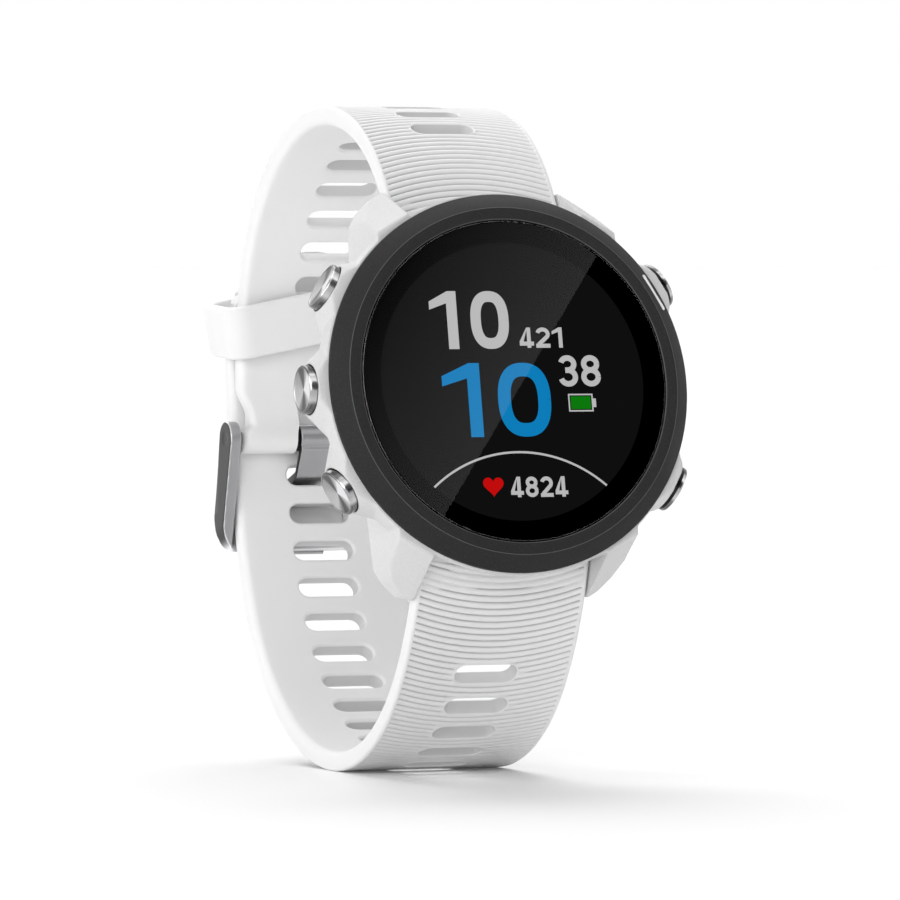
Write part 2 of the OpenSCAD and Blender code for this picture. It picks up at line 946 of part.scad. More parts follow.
// Long half of the strap, with a slot at every pitch and a round tip
module lower_strap() {
    color("#f2f2f2")
        on_stand()
            difference() {
                union() {
                    band(lower);
                    strap_root(lower);
                }
                strap_slots(lower, lower_first, lower_slots);
                root_bore();
                at_path(along(lower, lower_l - tip_r))
                    linear_extrude(height = through, center = true)
                        difference() {
                            translate([-strap_w, 0])
                                square([2 * strap_w, 2 * tip_r]);
                            circle(tip_r);
                        }
            }
}

// Short half of the strap, narrowed round the buckle bar and notched for the tongue
module upper_strap() {
    w = strap_w / 2;
    color("#f2f2f2")
        on_stand()
            mirror([0, 1, 0])
                difference() {
                    union() {
                        band(upper);
                        strap_root(upper);
                        rod(bar_end[0], roll_r, -w, w);
                    }
                    strap_slots(upper, upper_first, upper_slots);
                    root_bore();
                    rod(bar_end[0], buckle_bar_r + fit, -strap_w, strap_w);
                    at_path(bar_end)
                        linear_extrude(height = through, center = true) {
                            for (side = [-1, 1])
                                polygon([
                                    [side * neck_w / 2, -neck_l],
                                    [side * (w + past), -neck_l - neck_slope],
                                    [side * (w + past), 2 * roll_r],
                                    [side * neck_w / 2, 2 * roll_r]
                                ]);
                            translate([-tongue_w / 2 - gap, -notch_l])
                                square([tongue_w + 2 * gap, notch_l + 2 * roll_r]);
                        }
                }
}

// Loop that holds the strap's free end against the short half
module keeper() {
    in_w = keeper_in_w / 2;
    out_low = keeper_t - keeper_low;
    out_high = -keeper_high - keeper_t;
    color("#f4f4f4")
        on_stand()
            at_path([keeper_p, keeper_turn])
                rotate([90, 0, keeper_skew])
                    linear_extrude(height = keeper_l, center = true)
                        difference() {
                            rounded_box(in_w + keeper_t, out_high, out_low, 2 * keeper_round);
                            rounded_box(in_w, -keeper_high, -keeper_low, keeper_round);
                        }
}

// Outline with round corners, centred on x, from y0 to y1
module rounded_box(half, y0, y1, r) {
    translate([-half, y0 + r])
        square([2 * half, y1 - y0 - 2 * r]);
    translate([-half + r, y0])
        square([2 * (half - r), y1 - y0]);
    for (x = [-half + r, half - r])
        for (y = [y0 + r, y1 - r])
            translate([x, y])
                circle(r);
}

// Bent metal frame: two arms that turn on the bar and a cross bar outside the strap
module buckle_frame() {
    run_in = cross_half * ahead(cross_at[1]);
    color("#9a9da1")
        on_stand()
            difference() {
                union() {
                    for (side = [-1, 1])
                        across(side > 0 ? arm_in : -arm_out, side > 0 ? arm_out : -arm_in)
                            link(buckle_bar, arm_end_r, cross_p - run_in, arm_tip_r);
                    across(-arm_out, arm_out)
                        link(cross_p - run_in, cross_t / 2, cross_p + run_in, cross_t / 2);
                }
                rod(buckle_bar, buckle_bar_r + run, -arm_out - past, arm_out + past);
                for (side = [0, 1])
                    mirror([side, 0, 0])
                        at_path([cross_p, cross_at[1]])
                            frame_corner();
            }
}

// Waste outside a rounded corner of the buckle frame
module frame_corner() {
    low = -cross_half - arm_tip_r;
    translate([arm_out - corner_r, low + corner_r, 0])
        linear_extrude(height = through, center = true)
            difference() {
                translate([0, -2 * corner_r])
                    square(2 * corner_r);
                circle(corner_r);
            }
}

// Bent tongue: a ring on the bar, and a blade through the strap slot on to the cross bar
module buckle_tongue() {
    w = tongue_w / 2;
    color("#a6a9ad")
        on_stand()
            difference() {
                across(-w, w) {
                    translate(buckle_bar)
                        circle(tongue_ring_r);
                    for (i = [0 : len(tongue_line) - 2])
                        link(tongue_line[i], tongue_t / 2, tongue_line[i + 1], tongue_t / 2);
                }
                rod(buckle_bar, buckle_bar_r + run, -strap_w, strap_w);
            }
}

module buckle_bar_pin() {
    color("#8f9296")
        on_stand()
            rod(buckle_bar, buckle_bar_r, -arm_out + bar_recess, arm_out - bar_recess);
}

// Tube of a quick-release spring bar, with its fixed pin and the slot for the lever
module spring_bar() {
    half = spring_bar_l / 2;
    bore_from = lever_x - lever_r - pin_travel - gap;
    slot_l = 2 * lever_r + pin_travel + 2 * gap;
    difference() {
        union() {
            rod(bar_at, spring_bar_r, -half, half);
            rod(bar_at, spring_pin_r, -pin_reach, -half);
        }
        rod(bar_at, spring_pin_r + run, bore_from, half + past);
        translate([bore_from, bar_at.x - lever_r - run, bar_at.y - root_r])
            cube([slot_l, 2 * (lever_r + run), root_r]);
    }
}

// Sliding pin of a spring bar with its release lever
module release_pin() {
    rod(bar_at, spring_pin_r, lever_x - lever_r, pin_reach);
    translate([lever_x, bar_at.x, bar_at.y - lever_out])
        cylinder(r = lever_r, h = lever_out - lever_sink);
}

module upper_spring_bar() {
    color("#a6a9ad")
        on_stand()
            mirror([0, 1, 0])
                spring_bar();
}

module lower_spring_bar() {
    color("#a6a9ad")
        on_stand()
            spring_bar();
}

module upper_release_pin() {
    color("#b5b8bc")
        on_stand()
            mirror([0, 1, 0])
                release_pin();
}

module lower_release_pin() {
    color("#b5b8bc")
        on_stand()
            release_pin();
}

bezel();
start_marker();
lens();
lens_seal();
display_module();
middle_case();
rear_cover();
case_gasket();
rear_screws();
sensor_window();
sensor_board();
charging_contacts();
chassis();
main_board();
shield_can();
battery();
motor_can();
motor_rotor();
buzzer();
antenna_ring();
tact_switches();
button_seals();
button(BUTTON_ANGLES[0]);  // light_button
button(BUTTON_ANGLES[1]);  // up_button
button(BUTTON_ANGLES[2]);  // down_button
button(BUTTON_ANGLES[3]);  // start_button
button(BUTTON_ANGLES[4]);  // back_button
clip(BUTTON_ANGLES[0]);  // light_clip
clip(BUTTON_ANGLES[1]);  // up_clip
clip(BUTTON_ANGLES[2]);  // down_clip
clip(BUTTON_ANGLES[3]);  // start_clip
clip(BUTTON_ANGLES[4]);  // back_clip
upper_strap();
lower_strap();
keeper();
buckle_frame();
buckle_tongue();
buckle_bar_pin();
upper_spring_bar();
lower_spring_bar();
upper_release_pin();
lower_release_pin();
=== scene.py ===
import math

import bmesh
import bpy
import numpy as np
from mathutils import Matrix, Vector
from mathutils.geometry import convex_hull_2d


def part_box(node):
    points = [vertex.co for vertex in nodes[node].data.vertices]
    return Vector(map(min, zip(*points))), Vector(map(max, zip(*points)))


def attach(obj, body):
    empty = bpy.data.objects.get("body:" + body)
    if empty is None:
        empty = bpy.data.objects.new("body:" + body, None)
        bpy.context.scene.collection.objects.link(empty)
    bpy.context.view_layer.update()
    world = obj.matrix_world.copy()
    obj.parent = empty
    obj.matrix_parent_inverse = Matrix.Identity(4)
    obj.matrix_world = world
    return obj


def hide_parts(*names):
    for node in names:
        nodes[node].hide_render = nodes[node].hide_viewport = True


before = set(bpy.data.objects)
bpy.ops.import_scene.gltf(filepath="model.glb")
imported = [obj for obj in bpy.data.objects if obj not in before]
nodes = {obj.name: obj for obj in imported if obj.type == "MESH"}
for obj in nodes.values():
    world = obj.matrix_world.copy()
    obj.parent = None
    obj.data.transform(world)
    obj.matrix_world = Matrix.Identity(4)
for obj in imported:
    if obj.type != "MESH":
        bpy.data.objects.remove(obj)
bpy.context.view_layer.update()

scene = bpy.context.scene
scene.view_settings.view_transform = "Standard"


def cosSin(degrees):
    return math.cos(math.radians(degrees)), math.sin(math.radians(degrees))


# watch axes: x to 3 o'clock, y to 12 o'clock, z out of the lens, z = 0 on the lens, in millimetres
stance = {"leanBack": 11.5, "lensThickness": 1.2}
leanCos, leanSin = cosSin(stance["leanBack"])


def turnToRow(points):
    x, y, z = np.asarray(points, float).reshape(-1, 3).T
    return np.stack([x, y * leanSin - z * leanCos, y * leanCos + z * leanSin], axis=1)


lensLow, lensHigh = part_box("lens")
watchOrigin = np.array((lensLow + lensHigh) / 2) - turnToRow([0, 0, -stance["lensThickness"] / 2])[0] / 1000


def toRow(points):
    return turnToRow(points) / 1000 + watchOrigin


# mesh helpers
def newMesh(name, verts, faces):
    mesh = bpy.data.meshes.new(name)
    mesh.from_pydata([tuple(v) for v in verts], [], [tuple(f) for f in faces])
    mesh.update()
    return mesh


def coordsOf(mesh):
    co = np.empty(len(mesh.vertices) * 3)
    mesh.vertices.foreach_get("co", co)
    return co.reshape(-1, 3)


def setCoords(mesh, co):
    mesh.vertices.foreach_set("co", np.ascontiguousarray(co, dtype=np.float32).ravel())
    mesh.update()


def setAttribute(mesh, label, values):
    field = mesh.attributes.new(label, "FLOAT", "POINT")
    field.data.foreach_set("value", np.asarray(values, np.float32))


def faceOut(mesh):
    # a closed shell whose volume counts as negative is inside out
    mesh.calc_loop_triangles()
    tri = np.empty(len(mesh.loop_triangles) * 3, dtype=np.int32)
    mesh.loop_triangles.foreach_get("vertices", tri)
    a, b, c = coordsOf(mesh)[tri.reshape(-1, 3)].transpose(1, 0, 2)
    if np.einsum("ij,ij->i", a, np.cross(b, c)).sum() < 0:
        mesh.flip_normals()
    return mesh


def shell(name, verts, faces):
    return faceOut(newMesh(name, verts, faces))


def addPiece(name, mesh, materials, sharp=35):
    mesh.name = name
    mesh.materials.clear()
    for material in materials:
        mesh.materials.append(material)
    mesh.polygons.foreach_set("use_smooth", [True] * len(mesh.polygons))
    mesh.set_sharp_from_angle(angle=math.radians(sharp))
    piece = bpy.data.objects.new(name, mesh)
    scene.collection.objects.link(piece)
    return piece


def carry(piece, body, slot, *replaced):
    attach(piece, body)
    if replaced:
        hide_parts(*replaced)
    return piece


def plainMesh(piece):
    # the evaluated shape as a mesh of its own, with the modifiers taken off
    bpy.context.view_layer.update()
    mesh = bpy.data.meshes.new_from_object(piece.evaluated_get(bpy.context.evaluated_depsgraph_get()))
    piece.modifiers.clear()
    return mesh


def scratchObject(mesh):
    holder = bpy.data.objects.new("scratch", mesh)
    scene.collection.objects.link(holder)
    return holder


def combine(mesh, other, operation):
    base, tool = scratchObject(mesh), scratchObject(other)
    modifier = base.modifiers.new("combine", "BOOLEAN")
    modifier.operation = operation
    modifier.solver = "MANIFOLD"
    modifier.object = tool
    result = plainMesh(base)
    bpy.data.objects.remove(base)
    bpy.data.objects.remove(tool)
    return result


def melted(mesh, voxel, rounds):
    # one skin over the joined solids, with soft edges
    holder = scratchObject(mesh)
    skin = holder.modifiers.new("skin", "REMESH")
    skin.mode = "VOXEL"
    skin.voxel_size = voxel
    soft = holder.modifiers.new("soft", "SMOOTH")
    soft.factor = 0.5
    soft.iterations = rounds
    result = plainMesh(holder)
    bpy.data.objects.remove(holder)
    return result


def cutAway(mesh, point, normal):
    # takes off what lies past a plane and closes the cut
    work = bmesh.new()
    work.from_mesh(mesh)
    cut = bmesh.ops.bisect_plane(work, geom=work.verts[:] + work.edges[:] + work.faces[:], dist=1e-5,
                                 plane_co=point, plane_no=normal, clear_outer=True)
    bmesh.ops.edgeloop_fill(work, edges=[e for e in cut["geom_cut"] if isinstance(e, bmesh.types.BMEdge)])
    bmesh.ops.recalc_face_normals(work, faces=work.faces[:])
    work.to_mesh(mesh)
    work.free()
    return mesh


def lathe(profile, steps, closed=False):
    # turns (radius, height) points about z; a point on the axis is one vertex
    verts, rings, faces = [], [], []
    for r, z in profile:
        if r < 1e-6:
            rings.append([len(verts)] * steps)
            verts.append((0, 0, z))
        else:
            rings.append([len(verts) + i for i in range(steps)])
            verts += [(r * math.cos(2 * math.pi * i / steps), r * math.sin(2 * math.pi * i / steps), z)
                      for i in range(steps)]
    pairs = list(zip(rings, rings[1:])) + ([(rings[-1], rings[0])] if closed else [])
    for low, high in pairs:
        for i in range(steps):
            j = (i + 1) % steps
            corners = [low[i], low[j], high[j], high[i]]
            face = [c for k, c in enumerate(corners) if c not in corners[:k]]
            if len(face) > 2:
                faces.append(face)
    return np.array(verts, float), faces


def rod(radius, start, end, steps):
    return lathe([(0, start), (radius, start), (radius, end), (0, end)], steps)


def roundCorner(before, corner, after, radius, steps):
    # points of a fillet in a 2D outline
    before, corner, after = (np.array(p, float) for p in (before, corner, after))
    a = (before - corner) / np.linalg.norm(before - corner)
    b = (after - corner) / np.linalg.norm(after - corner)
    half = math.acos(float(np.clip(a @ b, -1, 1))) / 2
    centre = corner + (a + b) / np.linalg.norm(a + b) * radius / math.sin(half)
    start, end = corner + a * radius / math.tan(half), corner + b * radius / math.tan(half)
    t0 = math.atan2(*(start - centre)[::-1])
    t1 = math.atan2(*(end - centre)[::-1])
    sweep = (t1 - t0 + math.pi) % (2 * math.pi) - math.pi
    turns = [t0 + sweep * k / steps for k in range(steps + 1)]
    return [tuple(centre + radius * np.array([math.cos(t), math.sin(t)])) for t in turns]


def roundedOutline(corners, steps=4):
    # corners are (x, y, radius)
    out = []
    for i, (x, y, radius) in enumerate(corners):
        before, after = corners[i - 1][:2], corners[(i + 1) % len(corners)][:2]
        out += roundCorner(before, (x, y), after, radius, steps) if radius else [(x, y)]
    return out


def rect(x0, y0, x1, y1):
    return [(x0, y0), (x1, y0), (x1, y1), (x0, y1)]


def stadium(length, height, grow=0.0, steps=10):
    reach, r = (length - height) / 2, height / 2 + grow
    arc = [math.pi * k / steps - math.pi / 2 for k in range(steps + 1)]
    right = [(reach + r * math.cos(t), r * math.sin(t)) for t in arc]
    return right + [(-x, -y) for x, y in right]


def prism(outline, low, high):
    n = len(outline)
    verts = [(x, y, low) for x, y in outline] + [(x, y, high) for x, y in outline]
    faces = [list(range(n))[::-1], list(range(n, 2 * n))]
    faces += [[i, (i + 1) % n, n + (i + 1) % n, n + i] for i in range(n)]
    return np.array(verts, float), faces


def tube(rings, capped):
    # closed section outlines, one after the other
    n, count = len(rings[0]), len(rings)
    verts = np.concatenate([np.asarray(r, float) for r in rings])
    faces = [[a * n + i, a * n + (i + 1) % n, b * n + (i + 1) % n, b * n + i]
             for a, b in [(k, (k + 1) % count) for k in range(count - 1 if capped else count)]
             for i in range(n)]
    if capped:
        faces += [list(range(n))[::-1], list(range((count - 1) * n, count * n))]
    return verts, faces


def acrossX(outline, start, end):
    # a (y, z) outline drawn out along x
    return tube([[(x, y, z) for y, z in outline] for x in (start, end)], capped=True)


def joined(first, second):
    shifted = [[i + len(first[0]) for i in face] for face in second[1]]
    return np.concatenate([first[0], second[0]]), first[1] + shifted


def smooth(x, low, high):
    t = np.clip((x - low) / (high - low), 0, 1)
    return t * t * (3 - 2 * t)


# node helpers
def feed(tree, socket, value):
    if isinstance(value, bpy.types.NodeSocket):
        tree.links.new(value, socket)
    else:
        socket.default_value = value


def makeNode(tree, kind, inputs=None, **settings):
    # a node with its settings, and its inputs set or linked by name or place
    node = tree.nodes.new(kind)
    for label, value in settings.items():
        setattr(node, label, value)
    for label, value in (inputs or {}).items():
        feed(tree, node.inputs[label], value)
    return node


def calc(tree, operation, *values):
    return makeNode(tree, "ShaderNodeMath", dict(enumerate(values)), operation=operation).outputs[0]


def ease(tree, value, low, high, outLow, outHigh):
    inputs = {"Value": value, "From Min": low, "From Max": high, "To Min": outLow, "To Max": outHigh}
    return makeNode(tree, "ShaderNodeMapRange", inputs, interpolation_type="SMOOTHSTEP").outputs["Result"]


def treeWith(name, inputs):
    tree = bpy.data.node_groups.new(name, "GeometryNodeTree")
    for label, kind in [("Geometry", "Geometry")] + inputs + [("Material", "Material")]:
        tree.interface.new_socket(label, in_out="INPUT", socket_type="NodeSocket" + kind)
    tree.interface.new_socket("Geometry", in_out="OUTPUT", socket_type="NodeSocketGeometry")
    return tree, tree.nodes.new("NodeGroupInput").outputs


def endTree(tree, given, geometry):
    realize = makeNode(tree, "GeometryNodeRealizeInstances", {"Geometry": geometry})
    paint = makeNode(tree, "GeometryNodeSetMaterial",
                     {"Geometry": realize.outputs["Geometry"], "Material": given["Material"]})
    makeNode(tree, "NodeGroupOutput", {"Geometry": paint.outputs["Geometry"]})
    return tree


def runTree(mesh, tree, values):
    holder = scratchObject(mesh)
    modifier = holder.modifiers.new(tree.name, "NODES")
    modifier.node_group = tree
    for item in tree.interface.items_tree:
        if item.item_type == "SOCKET" and item.in_out == "INPUT" and item.name in values:
            modifier[item.identifier] = values[item.name]
    result = plainMesh(holder)
    bpy.data.objects.remove(holder)
    return result


# shader groups
def shaderGroup(name, inputs, outputs):
    tree = bpy.data.node_groups.new(name, "ShaderNodeTree")
    for label, default in inputs.items():
        socket = tree.interface.new_socket(label, in_out="INPUT", socket_type="NodeSocketFloat")
        socket.default_value = default
    for label in outputs:
        tree.interface.new_socket(label, in_out="OUTPUT", socket_type="NodeSocketFloat")
    return tree, tree.nodes.new("NodeGroupInput").outputs


def objectCoords(tree):
    return tree.nodes.new("ShaderNodeTexCoord").outputs["Object"]


def noiseIn(tree, vector, scale, detail=2.0, rough=0.5):
    inputs = {"Vector": vector, "Scale": scale, "Detail": detail, "Roughness": rough}
    return makeNode(tree, "ShaderNodeTexNoise", inputs).outputs[0]


grainSet = {"fine": 1.9, "fleckFrom": 0.5, "fleckTo": 0.72, "cloudScale": 120.0}
brushSet = {"shadeScale": 400.0, "shadeDetail": 3.0}


def makeGrain(g):
    # moulded grain: a height for the bump, sparse flecks for the colour and clouds for the gloss
    tree, given = shaderGroup("mouldGrain", {"Scale": 5000.0}, ["Height", "Fleck", "Cloud"])
    coord = objectCoords(tree)
    fine = noiseIn(tree, coord, calc(tree, "MULTIPLY", given["Scale"], g["fine"]), 1.0)
    makeNode(tree, "NodeGroupOutput", {
        "Height": noiseIn(tree, coord, given["Scale"], 3.0, 0.6),
        "Fleck": ease(tree, fine, g["fleckFrom"], g["fleckTo"], 0.0, 1.0),
        "Cloud": noiseIn(tree, coord, g["cloudScale"])})
    return tree


def makeBrush(b):
    # drawn metal: fine lines along one axis, with a scale across them and one along
    tree, given = shaderGroup("drawnLines", {"Across": 9000.0, "Along": 300.0}, ["Height", "Shade"])
    coord = objectCoords(tree)
    lines = {0: given["Along"], 1: given["Across"], 2: given["Across"]}
    scale = makeNode(tree, "ShaderNodeCombineXYZ", lines)
    mapping = makeNode(tree, "ShaderNodeMapping", {"Vector": coord, "Scale": scale.outputs[0]})
    makeNode(tree, "NodeGroupOutput", {
        "Height": noiseIn(tree, mapping.outputs[0], 1.0),
        "Shade": noiseIn(tree, coord, b["shadeScale"], b["shadeDetail"])})
    return tree


mouldGrain, drawnLines = makeGrain(grainSet), makeBrush(brushSet)


# materials
def newMaterial(name, plain):
    # plain values stay on the shader's own sockets
    material = bpy.data.materials.new(name)
    material.use_nodes = True
    tree = material.node_tree
    shader = tree.nodes["Principled BSDF"]
    for label, value in plain.items():
        shader.inputs[label].default_value = value
    return material, tree, shader


def mixColour(tree, factor, first, second, blend="MIX"):
    inputs = {"Factor": factor, 6: first, 7: second}
    return makeNode(tree, "ShaderNodeMix", inputs, data_type="RGBA", blend_type=blend).outputs[2]


def shadedBy(tree, label, colour, other):
    # goes over to another colour where the attribute is one
    share = makeNode(tree, "ShaderNodeAttribute", attribute_name=label).outputs["Fac"]
    return mixColour(tree, share, colour, (*other, 1))


def roughFrom(tree, shader, mask, rough, spread):
    # roughness that drifts a little with a mask
    tree.links.new(ease(tree, mask, 0.3, 0.7, rough - spread, rough + spread), shader.inputs["Roughness"])


def bumpFrom(tree, shader, height, strength, distance):
    bump = makeNode(tree, "ShaderNodeBump", {"Strength": strength, "Distance": distance, "Height": height})
    tree.links.new(bump.outputs["Normal"], shader.inputs["Normal"])


def mouldedMaterial(name, look):
    material, tree, shader = newMaterial(name, {"Specular IOR Level": look.get("specular", 0.4)})
    grain = makeNode(tree, "ShaderNodeGroup", {"Scale": look["grainScale"]}, node_tree=mouldGrain).outputs
    colour = mixColour(tree, grain["Fleck"], (*look["colour"], 1), (*look["fleck"], 1))
    if "deep" in look:
        # painted shade: grooves and slot walls take a darker colour where shade falls
        colour = shadedBy(tree, "cavity", colour, look["deep"])
    tree.links.new(colour, shader.inputs["Base Color"])
    roughFrom(tree, shader, grain["Cloud"], look["rough"], 0.05)
    bumpFrom(tree, shader, grain["Height"], look["bump"], 0.00004)
    return material


def metalMaterial(name, look):
    material, tree, shader = newMaterial(name, {"Metallic": 1.0})
    scales = {"Across": look["across"], "Along": look["along"]}
    brush = makeNode(tree, "ShaderNodeGroup", scales, node_tree=drawnLines).outputs
    colour = mixColour(tree, brush["Shade"], (*look["colour"], 1), (*look["second"], 1))
    if "flankShade" in look:
        # painted highlight along the edges, and a painted reflection that makes outer flanks darker than the
        # faces in front
        colour = shadedBy(tree, "flank", shadedBy(tree, "edge", colour, look["edge"]), look["flankShade"])
    tree.links.new(colour, shader.inputs["Base Color"])
    roughFrom(tree, shader, brush["Height"], look["rough"], look["streak"])
    bumpFrom(tree, shader, brush["Height"], look["bump"], 0.00002)
    return material


def grey(tone):
    return (tone, tone, tone)


caseWhite = mouldedMaterial("caseWhite", {
    "colour": grey(0.71), "fleck": grey(0.64), "grainScale": 4600.0, "rough": 0.8, "bump": 0.55,
    "specular": 0.2})
# the silicone's deep colour is painted shade for the rib grooves and slot walls
siliconeWhite = mouldedMaterial("siliconeWhite", {
    "colour": grey(0.86), "fleck": grey(0.84), "deep": grey(0.5), "grainScale": 9000.0, "rough": 0.55,
    "bump": 0.08, "specular": 0.3})
markerWhite = mouldedMaterial("markerWhite", {
    "colour": grey(0.94), "fleck": grey(0.9), "grainScale": 6000.0, "rough": 0.4, "bump": 0.05})
# the bezel edge colour is lighter than the bezel: a painted highlight on the glossier lip and flat edge
bezelEdge = mouldedMaterial("bezelEdge", {
    "colour": grey(0.07), "fleck": grey(0.1), "grainScale": 5200.0, "rough": 0.35, "bump": 0.1})
bezelGrey = mouldedMaterial("bezelGrey", {
    "colour": (0.024, 0.024, 0.025), "fleck": (0.036, 0.036, 0.037), "grainScale": 5200.0, "rough": 0.55,
    "bump": 0.4, "specular": 0.12})
backGrey = mouldedMaterial("backGrey", {
    "colour": grey(0.72), "fleck": grey(0.66), "grainScale": 5200.0, "rough": 0.5, "bump": 0.35})
sealBlack = mouldedMaterial("sealBlack", {
    "colour": grey(0.02), "fleck": grey(0.03), "grainScale": 7000.0, "rough": 0.6, "bump": 0.2})
inkBlack = mouldedMaterial("inkBlack", {
    "colour": grey(0.001), "fleck": grey(0.0014), "grainScale": 7000.0, "rough": 0.7, "bump": 0.1,
    "specular": 0.0})
boardGreen = mouldedMaterial("boardGreen", {
    "colour": (0.02, 0.14, 0.07), "fleck": (0.03, 0.18, 0.09), "grainScale": 2500.0, "rough": 0.4,
    "bump": 0.15})
chassisGrey = mouldedMaterial("chassisGrey", {
    "colour": (0.09, 0.09, 0.1), "fleck": (0.12, 0.12, 0.13), "grainScale": 4000.0, "rough": 0.5,
    "bump": 0.25})
windowBlack = mouldedMaterial("windowBlack", {
    "colour": (0.012, 0.012, 0.014), "fleck": (0.014, 0.014, 0.016), "grainScale": 300.0, "rough": 0.12,
    "bump": 0.0, "specular": 0.5})
# the dark flank colour is a painted reflection and the edge colour a painted highlight
buckleSteel = metalMaterial("buckleSteel", {
    "colour": (0.38, 0.38, 0.39), "second": (0.43, 0.43, 0.44), "flankShade": (0.045, 0.045, 0.047),
    "edge": (0.95, 0.95, 0.96), "across": 2500.0, "along": 2500.0, "rough": 0.36, "streak": 0.01,
    "bump": 0.002})
pinSteel = metalMaterial("pinSteel", {
    "colour": (0.55, 0.55, 0.56), "second": (0.62, 0.62, 0.63), "across": 12000.0, "along": 900.0,
    "rough": 0.3, "streak": 0.05, "bump": 0.15})
# steel darkened as painted shade, for the buckle bar pin that sits in a dark gap
pinSteelPaintedShade = metalMaterial("pinSteelPaintedShade", {
    "colour": (0.10, 0.10, 0.11), "second": (0.14, 0.14, 0.15), "across": 9000.0, "along": 900.0,
    "rough": 0.35, "streak": 0.05, "bump": 0.05})
contactGold = metalMaterial("contactGold", {
    "colour": (0.78, 0.56, 0.25), "second": (0.82, 0.6, 0.3), "across": 8000.0, "along": 8000.0,
    "rough": 0.25, "streak": 0.05, "bump": 0.1})
foilSilver = metalMaterial("foilSilver", {
    "colour": (0.6, 0.6, 0.61), "second": (0.66, 0.66, 0.67), "across": 3000.0, "along": 3000.0,
    "rough": 0.35, "streak": 0.05, "bump": 0.2})


def capMaterial(name, look):
    # spun metal: painted reflection sectors from the UV map's turn, and fine turning rings from its radius
    material, tree, shader = newMaterial(name, {"Metallic": 1.0, "Roughness": look["rough"]})
    uv = makeNode(tree, "ShaderNodeUVMap", uv_map="spun").outputs["UV"]
    turn = makeNode(tree, "ShaderNodeSeparateXYZ", {0: uv}).outputs[0]
    ramp = makeNode(tree, "ShaderNodeValToRGB", {"Fac": calc(tree, "FRACT", turn)})
    ramp.color_ramp.interpolation = "EASE"
    stops = ramp.color_ramp.elements
    while len(stops) < len(look["sectors"]):
        stops.new(0.5)
    for stop, (place, tone) in zip(stops, look["sectors"]):
        stop.position = place
        stop.color = (tone, tone, tone * 1.01, 1)
    wave = makeNode(tree, "ShaderNodeTexWave", {"Vector": uv, "Scale": look["rings"], "Distortion": 1.5},
                    wave_type="BANDS", bands_direction="Y")
    rings = ease(tree, wave.outputs["Fac"], 0.0, 1.0, 1.0 - look["ringDepth"], 1.0)
    shade = mixColour(tree, 1.0, ramp.outputs["Color"], rings, "MULTIPLY")
    tree.links.new(shade, shader.inputs["Base Color"])
    return material


# painted reflection sectors are (part of a turn, tone)
spunSteelPaintedSheen = capMaterial("spunSteelPaintedSheen", {"rings": 6.0, "ringDepth": 0.1, "rough": 0.34, "sectors": [
    (0.0, 0.5), (0.11, 0.55), (0.18, 0.22), (0.22, 0.07), (0.28, 0.09), (0.34, 0.38), (0.42, 0.85),
    (0.58, 0.85), (0.66, 0.38), (0.71, 0.07), (0.78, 0.09), (0.84, 0.35), (1.0, 0.5)]})
# cap shade is a painted dark reflection for the lower sides of the right-hand caps
capPaintedShade = capMaterial("capPaintedShade", {"rings": 3.0, "ringDepth": 0.05, "rough": 0.25, "sectors": [
    (0.0, 0.05), (0.3, 0.02), (0.5, 0.03), (0.7, 0.02), (1.0, 0.05)]})
# cap edge paints light and dark reflections round the cap sides
capEdgePaintedSheen = capMaterial("capEdgePaintedSheen", {"rings": 3.0, "ringDepth": 0.05, "rough": 0.2, "sectors": [
    (0.0, 0.5), (0.2, 0.2), (0.3, 0.14), (0.36, 0.2), (0.4, 0.6), (0.45, 0.42), (0.5, 0.38), (0.53, 0.85),
    (0.57, 0.5), (0.6, 0.12), (0.74, 0.1), (1.0, 0.5)]})

unlit = {"Base Color": (0, 0, 0, 1), "Roughness": 1.0, "Specular IOR Level": 0.0}


def lightMaterial(name, colour):
    # lit picture element: its light is its colour, a little uneven from pixel to pixel
    material, tree, shader = newMaterial(name, {**unlit, "Emission Strength": 1.0})
    tone = noiseIn(tree, objectCoords(tree), 9000.0, 0.0)
    dim, full = ([share * c for c in colour] + [1] for share in (0.96, 1.04))
    tree.links.new(mixColour(tree, tone, dim, full), shader.inputs["Emission Color"])
    return material


screenDark = lightMaterial("screenDark", grey(0.005))
digitGrey = lightMaterial("digitGrey", grey(0.5))
digitBlue = lightMaterial("digitBlue", (0.004, 0.21, 0.50))
cellGreen = lightMaterial("cellGreen", (0.004, 0.19, 0.004))
signRed = lightMaterial("signRed", (0.55, 0.004, 0.004))
maskBlack = lightMaterial("maskBlack", grey(0.0))


def glassMaterial(name):
    plain = {"Base Color": (1, 1, 1, 1), "Transmission Weight": 1.0, "IOR": 1.5}
    material, tree, shader = newMaterial(name, plain)
    smear = noiseIn(tree, objectCoords(tree), 90.0)
    tree.links.new(ease(tree, smear, 0.35, 0.7, 0.0, 0.004), shader.inputs["Roughness"])
    return material


lensGlass = glassMaterial("lensGlass")
print("materials ready")


strapShape = {"width": 20.0, "thickness": 2.2, "outerEdge": 0.35, "innerEdge": 0.8,
              "outerLines": (1.3, 2.6, 3.9, 5.2, 6.5, 7.6), "innerLines": (8.6, 6.5, 4.3, 2.2),
              "ribPitch": 4.55 / 6, "ribDepth": 0.32, "ribRows": 6, "ribEdge": 9.4, "ribFade": 0.2,
              "groovePower": 3.2, "bowRadius": 27.0, "straightEnd": 5.0, "slotLength": 7.3,
              "slotHeight": 2.3, "slotPitch": 4.55, "rimWidth": 0.55, "barAt": (-20.859, -9.924),
              "rootRadius": 1.85, "rootBack": 2.2, "rootIn": 0.4, "rootSkin": 0.3, "rootSide": 0.02,
              "rootEnds": (-0.3, 1.5), "rootTurns": (165, 360), "reach": 4.4, "wall": -18.96,
              "bodyRim": 21.21, "bodyTaper": 3.2, "bodyBand": -4.55, "bodyBack": -11.0}
